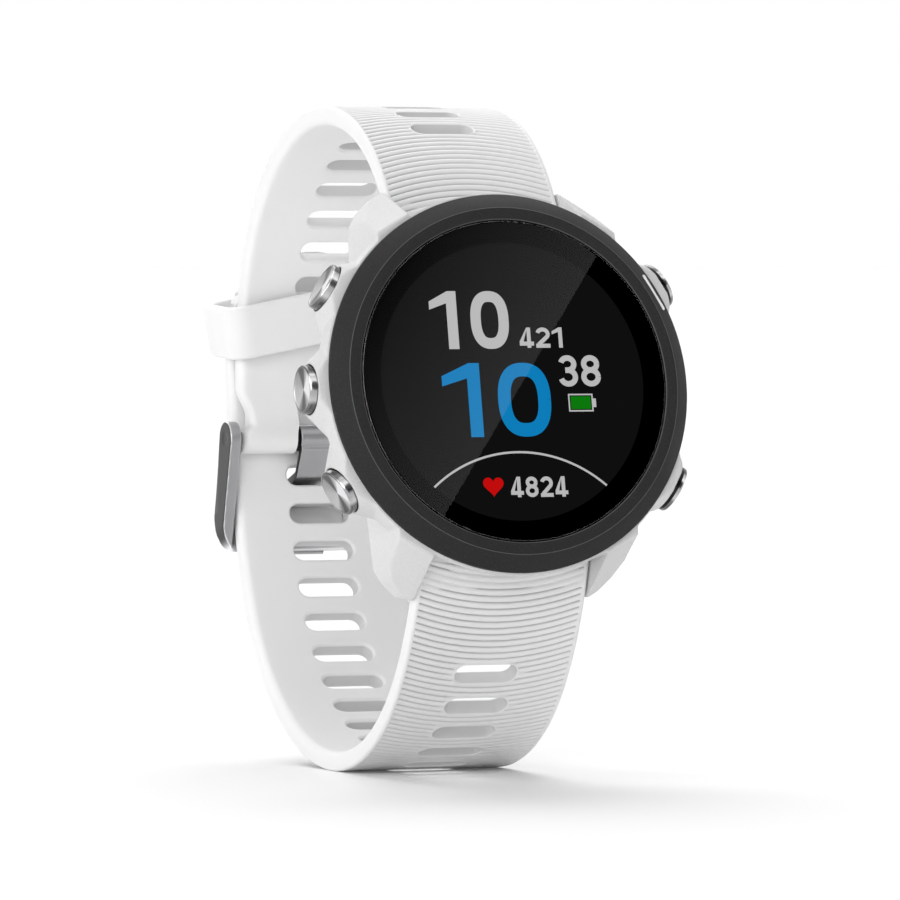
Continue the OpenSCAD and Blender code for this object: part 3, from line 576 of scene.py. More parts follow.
lowerStrap = {"name": "lowerStrap", "start": (-21.2, -9.2), "heading": 209.5, "mirror": 1,
              "turns": [(35.5, 19), (25, 52.4), (29.5, 64.8), (54, 10.6), (87.5, 20.5)], "firstSlot": 10.2,
              "slots": 21, "ribEnd": 200.0, "tipRadius": 10.0, "foldRadius": 0.0}
upperStrap = {"name": "upperStrap", "start": (-21.2, -9.2), "heading": 201.0, "mirror": -1,
              "turns": [(21.5, 39.8), (26.5, 66.6), (27.5, 36.6), (64, 10.5)], "firstSlot": 11.6,
              "slots": 11, "ribEnd": 66.0, "tipRadius": 0.0, "foldRadius": 1.75, "foldLength": 3.0,
              "neckFrom": 6.0, "neckTo": 2.4, "neckWidth": 0.88, "rollFrom": 1.7, "rollTo": 0.3,
              "rollWidth": 0.985, "notch": (-3.4, 2.5), "notchLength": 4.2}
# how much painted shade goes into the rib grooves and onto the slot walls
grooveShade = {"power": 2.6, "deepest": 1.1, "past": 0.1, "rim": 0.26, "wall": 0.02, "wallShade": 0.6}


def strapLength(strap):
    return sum(radius * math.radians(turn) for radius, turn in strap["turns"])


def followStrap(strap, s):
    # centre line point, and direction away from the wrist, at distance s along the strap
    s = np.asarray(s, float)
    place, away = np.zeros((len(s), 2)), np.zeros((len(s), 2))
    point, heading, run = np.array(strap["start"]), math.radians(strap["heading"]), 0.0
    for i, (radius, turn) in enumerate(strap["turns"]):
        length = radius * math.radians(turn)
        centre = point - radius * np.array([math.sin(heading), -math.cos(heading)])
        here = np.ones(len(s), bool) if i == 0 else s >= run
        h = heading + (s[here] - run) / radius
        out = np.stack([np.sin(h), -np.cos(h)], axis=1)
        place[here], away[here] = centre + radius * out, out
        heading += math.radians(turn)
        point = centre + radius * np.array([math.sin(heading), -math.cos(heading)])
        run += length
    return place, away


def bandSection(shape):
    w, t = shape["width"] / 2, shape["thickness"] / 2
    outer = roundCorner((0, t), (w, t), (w, -t), shape["outerEdge"], 4)
    inner = roundCorner((w, t), (w, -t), (0, -t), shape["innerEdge"], 5)
    e, f = shape["ribEdge"], shape["ribFade"]
    across = [*shape["outerLines"], e - 0.45, e, e + f * 0.5, e + f]
    half = [(u, t) for u in across] + outer + inner + [(u, -t) for u in shape["innerLines"]]
    return [(0, t)] + half + [(0, -t)] + [(-u, n) for u, n in half[::-1]]


def ribTree():
    labels = ("Rib Pitch", "Rib Depth", "Groove Power", "Bow Radius", "Straight End", "Rib Edge", "Rib Fade",
              "Face Height", "Rib End", "Length")
    tree, given = treeWith("strapRibs", [(label, "Float") for label in labels])
    position = makeNode(tree, "GeometryNodeInputPosition").outputs[0]
    across, along, height = makeNode(tree, "ShaderNodeSeparateXYZ", {0: position}).outputs
    # bow of the ribs, gone at the far end
    bow = calc(tree, "MULTIPLY", across, across)
    bow = calc(tree, "DIVIDE", bow, calc(tree, "MULTIPLY", given["Bow Radius"], 2.0))
    straight = calc(tree, "SUBTRACT", given["Length"], given["Straight End"])
    bow = calc(tree, "MULTIPLY", bow, ease(tree, along, straight, given["Length"], 1.0, 0.0))
    # rounded ridge with a narrow groove at each pitch
    phase = calc(tree, "FRACT", calc(tree, "ADD", calc(tree, "DIVIDE", along, given["Rib Pitch"]), 20.0))
    swing = calc(tree, "SUBTRACT", calc(tree, "MULTIPLY", phase, 2.0), 1.0)
    groove = calc(tree, "POWER", calc(tree, "ABSOLUTE", swing), given["Groove Power"])
    # only on the outer face, up to its edges and to the rib end
    reach = calc(tree, "ADD", given["Rib Edge"], given["Rib Fade"])
    mask = ease(tree, calc(tree, "ABSOLUTE", across), given["Rib Edge"], reach, 1.0, 0.0)
    onFace = calc(tree, "GREATER_THAN", height, calc(tree, "SUBTRACT", given["Face Height"], 0.01))
    mask = calc(tree, "MULTIPLY", mask, onFace)
    mask = calc(tree, "MULTIPLY", mask, calc(tree, "LESS_THAN", along, given["Rib End"]))
    drop = calc(tree, "MULTIPLY", calc(tree, "MULTIPLY", groove, given["Rib Depth"]), mask)
    offset = makeNode(tree, "ShaderNodeCombineXYZ",
                      {1: calc(tree, "MULTIPLY", bow, -1.0), 2: calc(tree, "MULTIPLY", drop, -1.0)})
    move = makeNode(tree, "GeometryNodeSetPosition",
                    {"Geometry": given["Geometry"], "Offset": offset.outputs[0]})
    return endTree(tree, given, move.outputs["Geometry"])


def rowTree():
    # one shape at every pitch along y
    inputs = [("Count", "Int"), ("First", "Float"), ("Pitch", "Float"), ("Shape", "Object")]
    tree, given = treeWith("slotRow", inputs)
    first = makeNode(tree, "ShaderNodeCombineXYZ", {1: given["First"]}).outputs[0]
    step = makeNode(tree, "ShaderNodeCombineXYZ", {1: given["Pitch"]}).outputs[0]
    row = makeNode(tree, "GeometryNodeMeshLine",
                   {"Count": given["Count"], "Start Location": first, "Offset": step})
    shape = makeNode(tree, "GeometryNodeObjectInfo", {"Object": given["Shape"]})
    place = makeNode(tree, "GeometryNodeInstanceOnPoints",
                     {"Points": row.outputs["Mesh"], "Instance": shape.outputs["Geometry"]})
    return endTree(tree, given, place.outputs["Instances"])


strapRibs, slotRow = ribTree(), rowTree()


def slotRings(shape, profile):
    # rings round a slot from (distance out from its edge, height) points
    return [[(x, y, z) for x, y in stadium(shape["slotLength"], shape["slotHeight"], d)] for d, z in profile]


def holeSolid(shape):
    rings = slotRings(shape, [(0.3, -4.0), (0.3, -0.2), (0.12, -0.2), (0.12, 4.0)])
    return shell("hole", *tube(rings, capped=True))


def rimSolid(shape):
    # narrow lip outside, wide soft edge on the wrist's side
    t, w = shape["thickness"] / 2, shape["rimWidth"]
    profile = [(w, -0.35), (0.22, -0.35), (0.22, t - 0.12), (0.2, t - 0.03), (0.16, t + 0.012), (0.1, t),
               (0.05, t - 0.05), (0.01, t - 0.14), (0.0, t - 0.26), (0.0, -t + 0.42), (0.03, -t + 0.26),
               (0.12, -t + 0.12), (0.26, -t + 0.03), (0.42, -t), (w, -t + 0.05)]
    return shell("rim", *tube(slotRings(shape, profile), capped=False))


def inRow(mesh, strap):
    holder = scratchObject(mesh)
    values = {"Count": strap["slots"], "First": strap["firstSlot"], "Pitch": strapShape["slotPitch"],
              "Shape": holder, "Material": siliconeWhite}
    result = runTree(newMesh("seed", [(0, 0, 0)], []), slotRow, values)
    bpy.data.objects.remove(holder)
    return result


def rootSolid(strap, shape):
    # solid roll where the spring bar sits, and a wedge that fills up to the outer face
    (y, z), r, half = shape["barAt"], shape["rootRadius"], shape["width"] / 2 - shape["rootSide"]
    place, away = followStrap(strap, [-shape["rootBack"], *shape["rootEnds"]])
    skin = away * (shape["thickness"] / 2 - shape["rootSkin"])
    face, deep = place + skin, place - skin
    turns = np.linspace(*np.radians(shape["rootTurns"]), 26)
    outline = [(y + r * math.cos(t), z + r * math.sin(t)) for t in turns]
    inward = np.array([shape["rootIn"], -shape["rootIn"]])
    outline += [tuple(p) for p in (face[0] + inward, face[0], face[1], deep[2])]
    return shell("root", *acrossX(outline, -half, half))


def bodyRoom(shape):
    # the case's round side, with the flat wall behind the strap's root
    r, low = shape["bodyRim"], shape["bodyBack"]
    inner = r - shape["bodyTaper"]
    profile = [(0, 2), (r, 2), (r, shape["bodyBand"]), (inner, low), (inner, low - 4), (0, low - 4)]
    flatWall = prism([(-30, shape["wall"]), (-30, -40), (30, -40), (30, shape["wall"])], -40, 10)
    return combine(shell("room", *lathe(profile, 128)), shell("wall", *flatWall), "DIFFERENCE")


def paintedShadeOf(u, v, n, strap, shape):
    # share of painted shade: one in the rib grooves, less on the slot walls and nought on the open faces
    tone, t = grooveShade, shape["thickness"] / 2
    ribbed = (n > t - tone["deepest"] * shape["ribDepth"]) & (np.abs(u) < shape["ribEdge"] + tone["past"])
    groove = np.clip((t - n) / shape["ribDepth"], 0, 1) ** tone["power"] * (ribbed & (v < strap["ribEnd"]))
    k = np.clip(np.round((v - strap["firstSlot"]) / shape["slotPitch"]), 0, strap["slots"] - 1)
    reach = (shape["slotLength"] - shape["slotHeight"]) / 2
    along = v - strap["firstSlot"] - k * shape["slotPitch"]
    out = np.hypot(np.maximum(np.abs(u) - reach, 0), along) - shape["slotHeight"] / 2
    return np.where(out < tone["rim"], (out < tone["wall"]) * tone["wallShade"], groove)


def makeStrap(strap, shape):
    length = strapLength(strap)
    end = length + strap["foldRadius"]
    step = shape["ribPitch"] / shape["ribRows"]
    stations = [k * step for k in range(int(-shape["reach"] / step), int(end / step))] + [end - 0.02]
    section = bandSection(shape)
    flat = shell("band", *tube([[(u, s, n) for u, n in section] for s in stations], capped=True))
    flat = runTree(flat, strapRibs, {
        "Rib Pitch": shape["ribPitch"], "Rib Depth": shape["ribDepth"], "Groove Power": shape["groovePower"],
        "Bow Radius": shape["bowRadius"], "Straight End": shape["straightEnd"], "Rib Edge": shape["ribEdge"],
        "Rib Fade": shape["ribFade"], "Face Height": shape["thickness"] / 2, "Rib End": strap["ribEnd"],
        "Length": end, "Material": siliconeWhite})
    # slots: a clear hole first, then a smooth lip in each
    flat = combine(flat, inRow(holeSolid(shape), strap), "DIFFERENCE")
    flat = combine(flat, inRow(rimSolid(shape), strap), "UNION")
    if strap["tipRadius"]:
        r = strap["tipRadius"]
        arc = [(r * math.cos(t), length - r + r * math.sin(t)) for t in np.linspace(0, math.pi, 40)]
        waste = arc + [(-r - 2, length - r), (-r - 2, length + 3), (r + 2, length + 3), (r + 2, length - r)]
        flat = combine(flat, shell("tip", *prism(waste[::-1], -4, 4)), "DIFFERENCE")
    if strap["foldRadius"]:
        (left, right), low, high = strap["notch"], length - strap["notchLength"], end + 2
        notch = roundedOutline([(right, high, 0), (left, high, 0), (left, low, 0.5), (right, low, 0.5)])
        flat = combine(flat, shell("notch", *prism(notch, -6, 6)), "DIFFERENCE")
    u, v, n = coordsOf(flat).T.copy()
    cavity = paintedShadeOf(u, v, n, strap, shape)
    if strap["foldRadius"]:
        # narrow neck, then the fold swells round the buckle bar
        neck = (1 - strap["neckWidth"]) * smooth(v, length - strap["neckFrom"], length - strap["neckTo"])
        roll = smooth(v, length - strap["rollFrom"], length - strap["rollTo"])
        u = u * (1 - neck + (strap["rollWidth"] - strap["neckWidth"]) * roll)
        half, r = shape["thickness"] / 2, strap["foldRadius"]
        swell = half + (r - half) * smooth(v, length - strap["foldLength"], length)
        swell = np.where(v > length, np.sqrt(np.maximum(r * r - (v - length) ** 2, 0.01)), swell)
        n = n * swell / half
    place, away = followStrap(strap, v)
    setCoords(flat, np.column_stack([u, place + n[:, None] * away]))
    # the cavity attribute carries the painted shade of grooves and slot walls to the material
    setAttribute(faceOut(flat), "cavity", cavity)
    flat = combine(flat, rootSolid(strap, shape), "UNION")
    flat = combine(flat, bodyRoom(shape), "DIFFERENCE")
    setCoords(flat, toRow(coordsOf(flat) * np.array([1, strap["mirror"], 1])))
    return addPiece(strap["name"], faceOut(flat), [siliconeWhite], 40)


for strap, node in ((lowerStrap, "lower_strap"), (upperStrap, "upper_strap")):
    piece = carry(makeStrap(strap, strapShape), "case", "strap_silicone", node)
    print(strap["name"], len(piece.data.polygons), "faces")


keeperLoop = {"centre": (18.4442, -56.6788), "turn": 15.0, "skew": 11.0, "halfWidth": 11.0, "low": -1.95,
              "high": 6.055, "wall": 1.4, "length": 6.0, "inRadius": 1.5, "edge": 0.5, "inEdge": 0.25,
              "swell": 0.12}


def makeKeeper(k):
    # wall section swept round a rounded rectangle
    w, r = k["halfWidth"], k["inRadius"]
    corners = [(w, k["high"], r), (-w, k["high"], r), (-w, k["low"], r), (w, k["low"], r)]
    inner = np.array(roundedOutline(corners, 8))
    along = np.roll(inner, -1, axis=0) - np.roll(inner, 1, axis=0)
    along /= np.linalg.norm(along, axis=1)[:, None]
    outward = np.stack([along[:, 1], -along[:, 0]], axis=1)
    if (outward * (inner - inner.mean(axis=0))).sum() < 0:
        outward = -outward
    h, wall = k["length"] / 2, k["wall"]
    edge, inEdge = k["edge"], k["inEdge"]
    section = roundedOutline([(h, 0, inEdge), (h, wall, edge), (-h, wall, edge), (-h, 0, inEdge)])
    rings = []
    for p, out in zip(inner, outward):
        # the outer face is a little barrelled
        lifts = [(t, d - k["swell"] * (t / h) ** 2 * (d > wall * 0.7)) for t, d in section]
        rings.append([(p[0] + out[0] * lift, t, p[1] + out[1] * lift) for t, lift in lifts])
    verts, faces = tube(rings, capped=False)
    (c, s), (sc, ss) = cosSin(k["turn"]), cosSin(k["skew"])
    x, t, n = verts.T
    x, t = x * sc - t * ss, x * ss + t * sc
    placed = np.stack([x, k["centre"][0] + t * c + n * s, k["centre"][1] + t * s - n * c], axis=1)
    return addPiece("keeperLoop", shell("keeper", toRow(placed), faces), [siliconeWhite], 50)


carry(makeKeeper(keeperLoop), "keeper_loop", "strap_silicone", "keeper")
print("straps and keeper ready")


bezelRing = {"lensRadius": 17.75, "fit": 0.05, "flatRadius": 19.15, "outerRadius": 20.9, "drop": 1.45,
             "rim": 1.95, "skirtRadius": 18.15, "skirt": 2.65, "ledge": 16.65, "ledgeDepth": 1.3,
             "lip": 0.1, "edge": 0.12, "rimEdge": 0.05, "shineDepth": 0.1, "shineInset": 0.14,
             "shineFlat": 0.05, "steps": 256}
startMarker = {"angle": 29.3, "length": 4.5, "width": 0.58, "radius": 20.235, "depth": 0.899,
               "slope": 39.644, "sink": 0.35, "proud": 0.02, "room": 0.04}


def onBevel(points, m):
    # local x runs round the bezel, y down its slope and z out of it
    x, y, z = np.asarray(points, float).T
    (sc, ss), (tc, ts) = cosSin(m["slope"]), cosSin(m["angle"])
    out = m["radius"] + y * sc + z * ss
    up = -m["depth"] - y * ss + z * sc
    return np.stack([out * tc - x * ts, out * ts + x * tc, up], axis=1)


def makeBezel(b, m):
    bore, outer, side, ledge = b["lensRadius"] + b["fit"], b["outerRadius"], b["skirtRadius"], b["ledge"]
    corners = [(bore, 0, b["lip"]), (b["flatRadius"], 0, b["edge"]), (outer, -b["drop"], b["edge"]),
               (outer, -b["rim"], b["rimEdge"]), (side, -b["rim"], 0), (side, -b["skirt"], 0),
               (ledge, -b["skirt"], 0), (ledge, -b["ledgeDepth"], 0), (bore, -b["ledgeDepth"], 0)]
    mesh = shell("bezel", *lathe(roundedOutline(corners, 3), b["steps"], closed=True))
    pocket, faces = prism(stadium(m["length"], m["width"], m["room"], 12), -0.5, 0.6)
    mesh = combine(mesh, shell("pocket", onBevel(pocket, m), faces), "DIFFERENCE")
    # the lens's lip and the edge of the flat are glossier, and their lighter colour is a painted highlight
    polishedAndHighlit = []
    for p in mesh.polygons:
        radius = math.hypot(*p.center[:2])
        onEdge = radius < b["lensRadius"] + b["shineInset"] or abs(radius - b["flatRadius"]) < b["shineFlat"]
        polishedAndHighlit.append(int(0 > p.center.z > -b["shineDepth"] and onEdge))
    setCoords(mesh, toRow(coordsOf(mesh)))
    piece = addPiece("bezelRing", faceOut(mesh), [bezelGrey, bezelEdge], 60)
    mesh.polygons.foreach_set("material_index", polishedAndHighlit)
    return piece


def makeMarker(m):
    # bar that follows the round of the bevel
    verts, faces = prism(stadium(m["length"], m["width"], 0, 12), -m["sink"], m["proud"])
    verts[:, 2] -= verts[:, 0] ** 2 / (2 * m["radius"]) * math.sin(math.radians(m["slope"]))
    return addPiece("startMarker", shell("marker", toRow(onBevel(verts, m)), faces), [markerWhite])


def makeLens(b):
    # flat glass with a rounded edge and an inked side
    r, t = b["lensRadius"], stance["lensThickness"] - 0.05
    profile = [(0, 0.0), (r - 0.3, 0.0), (r - 0.2, 0.0), (r - 0.14, -0.012), (r - 0.03, -0.1), (r, -0.16),
               (r, -t), (0, -t)]
    verts, faces = lathe(profile, b["steps"])
    mesh = newMesh("lens", verts, faces)
    inked = [int(math.hypot(*p.center[:2]) > r - 0.02) for p in mesh.polygons]
    setCoords(mesh, toRow(verts))
    piece = addPiece("lensDisc", faceOut(mesh), [lensGlass, inkBlack], 30)
    mesh.polygons.foreach_set("material_index", inked)
    return piece


carry(makeBezel(bezelRing, startMarker), "case", "bezel_polymer", "bezel")
carry(makeMarker(startMarker), "case", "marker_white", "start_marker")
carry(makeLens(bezelRing), "case", "lens_glass", "lens")

# the lit picture and the black mask round it are bonded into the lens
screen = {"radius": 15.35, "maskOuter": 17.7, "maskDepth": 1.0, "maskThick": 0.02, "glowRadius": 15.6,
          "glowMid": 8, "glowDepth": 1.08, "glowThick": 0.03, "pictureDepth": 1.05, "steps": 192}


def screenLayer(name, profile, material, closed):
    verts, faces = lathe(profile, screen["steps"], closed)
    carry(addPiece(name, shell(name, toRow(verts), faces), [material]), "case", "display_black")


maskTop, glowTop = -screen["maskDepth"], -screen["glowDepth"]
maskLow, glowLow = maskTop - screen["maskThick"], glowTop - screen["glowThick"]
maskIn, maskOut, glowOut = screen["radius"], screen["maskOuter"], screen["glowRadius"]
maskLine = [(maskIn, maskTop), (maskOut, maskTop), (maskOut, maskLow), (maskIn, maskLow)]
glowLine = [(0, glowTop), (screen["glowMid"], glowTop), (glowOut, glowTop), (glowOut, glowLow), (0, glowLow)]
screenLayer("lensMask", maskLine, maskBlack, True)
screenLayer("screenGlow", glowLine, screenDark, False)

# numerals: figures, colour, box on the face in watch x and y, and stroke width
numerals = [
    ("hourTop", "10", digitGrey, (-9.15, 3.6, 0.05, 10.0), 1.2),
    ("hourLow", "10", digitBlue, (-8.3, -6.1, 4.3, 2.05), 1.5),
    ("minutes", "38", digitGrey, (5.4, -0.62, 10.4, 2.86), 0.62),
    ("dateNumber", "421", digitGrey, (1.15, 3.7, 6.2, 5.95), 0.45),
    ("paceNumber", "4824", digitGrey, (-1.2, -12.75, 5.5, -10.5), 0.42),
]
spacing = {"round": 0.24, "plain": 0.11, "oneShare": 0.72}


def flatShape(name, outlines, material):
    verts, faces = [], []
    for outline in outlines:
        faces.append(list(range(len(verts), len(verts) + len(outline))))
        verts += [(x, y, -screen["pictureDepth"]) for x, y in outline]
    carry(addPiece(name, newMesh(name, toRow(verts), faces), [material]), "case", "display_black")


def strip(points, width):
    # flat line of even width along points
    p = np.array(points, float)
    d = np.gradient(p, axis=0)
    side = np.stack([-d[:, 1], d[:, 0]], axis=1) / np.linalg.norm(d, axis=1)[:, None] * width / 2
    left, right = p + side, p - side
    return [[tuple(corner) for corner in quad] for quad in zip(left, right, right[1:], left[1:])]


def bend(cx, cy, rx, ry, fromTurn, toTurn, power=2.0, steps=28):
    # arc of a squarish ellipse
    out = []
    for t in np.radians(np.linspace(fromTurn, toTurn, steps)):
        c, d = math.cos(t), math.sin(t)
        size = (abs(c) ** power + abs(d) ** power) ** (-1 / power)
        out.append((cx + rx * c * size, cy + ry * d * size))
    return out


def figure(sign, x0, x1, y0, y1, w):
    # quads of one figure in its box
    h, mid, rx = w / 2, (x0 + x1) / 2, (x1 - x0 - w) / 2
    top, low, rise = y1 - h, y0 + h, y1 - y0 - w
    if sign == "0":
        return strip(bend(mid, (y0 + y1) / 2, rx, rise / 2, 0, 360, 2.5, 57), w)
    if sign == "1":
        stem = [(x1 - w, y0), (x1, y0), (x1, y1), (x1 - w * 0.85, y1), (x1 - w, y1 - w * 0.08)]
        flag = [(x0, y1 - w * 0.95), (x0, y1 - w * 1.7), (x1 - w, y1 - w * 1.12), (x1 - w, y1 - w * 0.08)]
        return [stem, flag]
    if sign in "38":
        # two bowls, the upper one smaller
        turns, steps = (((0, 360), (0, 360)), 41) if sign == "8" else (((165, -90), (90, -165)), 28)
        upper = bend(mid, top - rise * 0.235, rx * 0.9, rise * 0.235, *turns[0], 2.0, steps)
        lower = bend(mid, low + rise * 0.265, rx, rise * 0.265, *turns[1], 2.0, steps)
        waist = [(mid - rx * 0.35, low + rise * 0.53), (mid, low + rise * 0.53)]
        return strip(upper, w) + strip(lower, w) + (strip(waist, w) if sign == "3" else [])
    if sign == "4":
        bar, stem = y0 + rise * 0.26, x1 - w * 1.75
        return [rect(stem, y0, x1 - w * 0.75, y1), rect(x0, bar - h, x1, bar + h),
                [(x0, bar + h), (x0 + w * 1.05, bar + h), (stem, y1 - w * 0.6), (stem, y1)]]
    hook = bend(mid, top - rise * 0.28, rx, rise * 0.28, 165, -38) + [(x0 + w * 0.65, y0 + w * 0.8)]
    return strip(hook, w) + [rect(x0, y0, x1, y0 + w)]


for name, text, material, (x, low, right, high), weight in numerals:
    # a one takes less width than the other figures
    shares = [spacing["oneShare"] if sign == "1" else 1.0 for sign in text]
    space = (high - low) * spacing["round" if "0" in text else "plain"]
    unit = (right - x - space * (len(text) - 1)) / sum(shares)
    quads = []
    for sign, share in zip(text, shares):
        quads += figure(sign, x, x + unit * share, low, high, weight)
        x += unit * share + space
    flatShape(name, quads, material)

arcLine = {"centre": (0.0, -23.2), "radius": 15.4, "half": 41.3, "width": 0.24}
arcPoints = bend(*arcLine["centre"], arcLine["radius"], arcLine["radius"], 90 + arcLine["half"],
                 90 - arcLine["half"], steps=48)
flatShape("arcLine", strip(arcPoints, arcLine["width"]), digitGrey)

# battery sign: outline with its nub, and the charge inside
cellSign = {"box": (6.35, -3.38, 9.25, -1.42), "line": 0.16, "inset": 0.28, "nub": (9.25, -2.9, 9.6, -1.95)}
(cx0, cy0, cx1, cy1), cw, ci = cellSign["box"], cellSign["line"], cellSign["inset"]
cellBars = [rect(cx0, cy0, cx1, cy0 + cw), rect(cx0, cy1 - cw, cx1, cy1),
            rect(cx0, cy0 + cw, cx0 + cw, cy1 - cw), rect(cx1 - cw, cy0 + cw, cx1, cy1 - cw)]
flatShape("cellOutline", cellBars + [rect(*cellSign["nub"])], digitGrey)
flatShape("cellCharge", [rect(cx0 + ci, cy0 + ci, cx1 - ci, cy1 - ci)], cellGreen)

# small red heart
heartSign = {"centre": (-3.2, -11.45), "size": 0.075}
heart = []
for t in np.linspace(0, 2 * math.pi, 49)[:-1]:
    rise = 13 * math.cos(t) - 5 * math.cos(2 * t) - 2 * math.cos(3 * t) - math.cos(4 * t)
    heart.append((heartSign["centre"][0] + heartSign["size"] * 16 * math.sin(t) ** 3,
                  heartSign["centre"][1] + heartSign["size"] * rise))
flatShape("heartSign", [heart[::-1]], signRed)
print("face ready")


buttonCap = {"radius": 2.65, "face": 22.95, "foot": 21.56, "stemRadius": 0.75, "stemEnd": 17.05,
             "depth": 4.8, "rim": 0.32, "dish": 0.2, "dishCurve": 0.75, "dishRings": 8, "shoulder": 0.42,
             "steps": 96}
buttons = {"light": 150.0, "up": 180.0, "down": 210.0, "start": 30.0, "back": -30.0}


def onButton(points, angle):
    a, b, c = np.asarray(points, float).T
    ca, sa = cosSin(angle)
    return np.stack([c * ca - b * sa, c * sa + b * ca, -a - buttonCap["depth"]], axis=1)


def makeCap(name, angle, b):
    r, face, foot = b["radius"], b["face"], b["foot"]
    inner = r - b["rim"]
    shares = [k / b["dishRings"] for k in range(b["dishRings"] + 1)]
    dish = [(inner * k, face - b["dish"] * (1 - b["dishCurve"] * k ** 2)) for k in shares]
    stem, end = b["stemRadius"], b["stemEnd"]
    rim = [(inner + 0.03, face - 0.03), (inner + 0.09, face), (r - 0.16, face), (r - 0.07, face - 0.03),
           (r - 0.02, face - 0.1), (r, face - 0.2), (r, face - b["shoulder"]), (r, foot), (stem, foot),
           (stem, end), (0, end)]
    mesh = newMesh(name, *lathe(dish + rim, b["steps"]))
    rightHand = math.cos(math.radians(angle)) > 0
    # spun face: u runs round, v runs out from the middle
    layer = mesh.uv_layers.new(name="spun")
    slots = []
    for polygon in mesh.polygons:
        corners = [mesh.vertices[i].co for i in polygon.vertices]
        radii = [math.hypot(*co[:2]) for co in corners]
        onFace = max(radii) < inner + 1e-4 and polygon.center.z > foot + 0.5
        # right-hand caps take the painted dark reflection on the lower side
        shaded = rightHand and foot < polygon.center.z < face - b["shoulder"]
        slots.append(0 if onFace else 2 if shaded else 1)
        turns = [math.atan2(co[1], co[0]) / (2 * math.pi) for co in corners]
        mid = math.atan2(polygon.center.y, polygon.center.x) / (2 * math.pi)
        for loop, turn, radius in zip(polygon.loop_indices, turns, radii):
            near = mid if radius < 1e-6 else turn + round(mid - turn)
            layer.data[loop].uv = (-near if rightHand else near, radius / r)
    setCoords(mesh, toRow(onButton(coordsOf(mesh), angle)))
    piece = addPiece(name, faceOut(mesh), [spunSteelPaintedSheen, capEdgePaintedSheen, capPaintedShade], 40)
    mesh.polygons.foreach_set("material_index", slots)
    return piece


for label, angle in buttons.items():
    carry(makeCap(label + "Cap", angle, buttonCap), label + "_button", "cap_steel", label + "_button")
print("caps ready")


caseShell = {"rim": 21.15, "rimDepth": 1.95, "band": 2.6, "taper": 3.2, "backDepth": 11.0, "cavity": 18.2,
             "floor": 8.8, "opening": 14.6, "coverSeat": 10.0, "cover": 17.35, "bossFace": 22.1,
             "bossTop": 3.0, "bossSlope": 0.9, "recess": 2.77, "recessFloor": 21.1, "recessTo": 24.0,
             "stemBore": 0.8, "stemFrom": 16.0, "stemTo": 22.0, "lugIn": 10.2, "lugTip": 22.6,
             "strapDepth": 9.2, "facetPoint": (10.2, 18.9, -1.95), "facetNormal": (0.4513, 0.7817, 0.4304),
             "wallFlat": 18.909, "roof": 0.5, "roomTo": 30.0, "roomDepth": 14.0, "pinAt": (20.859, -9.924),
             "pinRadius": 0.5, "pinReach": 11.6, "voxel": 0.17, "soften": 3}
lugPlan = [(10.2, 9.0), (10.2, 22.6), (10.4, 22.6), (11.6, 21.9), (13.0, 20.5), (13.875, 18.925),
           (14.4, 9.0)]
# cuts under a lug: back from its tip, below the strap, and the way they face
lugTipCuts = [(0.0, 0.0, (0, 0.949, -0.316)), (0.4, 1.2, (0, 0.832, -0.555))]


def lugSolid(c, side, end):
    mesh = shell("lug", *prism(lugPlan, -c["backDepth"], -c["rimDepth"]))
    mesh = cutAway(mesh, c["facetPoint"], c["facetNormal"])
    for back, below, normal in lugTipCuts:
        mesh = cutAway(mesh, (0, c["lugTip"] - back, -c["strapDepth"] - below), normal)
    setCoords(mesh, coordsOf(mesh) * np.array([side, end, 1.0]))
    return faceOut(mesh)


def bossSolid(c, angle):
    low, high, top = c["cavity"], c["bossFace"], c["bossTop"]
    foot = top + c["bossSlope"] * (high - low)
    verts, faces = lathe([(0, low), (foot, low), (top, high), (0, high)], 72)
    mesh = shell("boss", onButton(verts, angle), faces)
    mesh = cutAway(mesh, (0, 0, -c["rimDepth"]), (0, 0, 1))
    return faceOut(cutAway(mesh, (0, 0, -c["backDepth"]), (0, 0, -1)))


def makeCase(c):
    outline = [(0, -c["rimDepth"]), (c["rim"], -c["rimDepth"]), (c["rim"], -c["rimDepth"] - c["band"]),
               (c["rim"] - c["taper"], -c["backDepth"]), (0, -c["backDepth"])]
    mesh = shell("body", *lathe(outline, 192))
    added = [lugSolid(c, side, end) for side in (-1, 1) for end in (-1, 1)]
    added += [bossSolid(c, angle) for angle in buttons.values()]
    for solid in added:
        mesh = combine(mesh, solid, "UNION")
    mesh = melted(mesh, c["voxel"], c["soften"])
    # cavity and back openings, then recess and bore of each button, then strap rooms and pin holes
    cuts = [shell("disc", *rod(radius, top, bottom, 192)) for radius, top, bottom in (
        (c["cavity"], 1.0, -c["floor"]), (c["opening"], -c["floor"] + 0.5, -c["coverSeat"] - 0.5),
        (c["cover"], -c["coverSeat"], -c["backDepth"] - 2))]
    for angle in buttons.values():
        for verts, faces in (rod(c["recess"], c["recessFloor"], c["recessTo"], 96),
                             rod(c["stemBore"], c["stemFrom"], c["stemTo"], 32)):
            cuts.append(shell("bore", onButton(verts, angle), faces))
    for end in (-1, 1):
        room = rect(-c["lugIn"], end * c["wallFlat"], c["lugIn"], end * c["roomTo"])
        cuts.append(shell("room", *prism(room, -c["roomDepth"], -c["rimDepth"] - c["roof"])))
        verts, faces = rod(c["pinRadius"], -c["pinReach"], c["pinReach"], 24)
        y, z = end * (c["pinAt"][0] + verts[:, 0]), c["pinAt"][1] + verts[:, 1]
        cuts.append(shell("pinHole", np.stack([verts[:, 2], y, z], axis=1), faces))
    for cut in cuts:
        mesh = combine(mesh, cut, "DIFFERENCE")
    setCoords(mesh, toRow(coordsOf(mesh)))
    return addPiece("caseShell", faceOut(mesh), [caseWhite], 40)


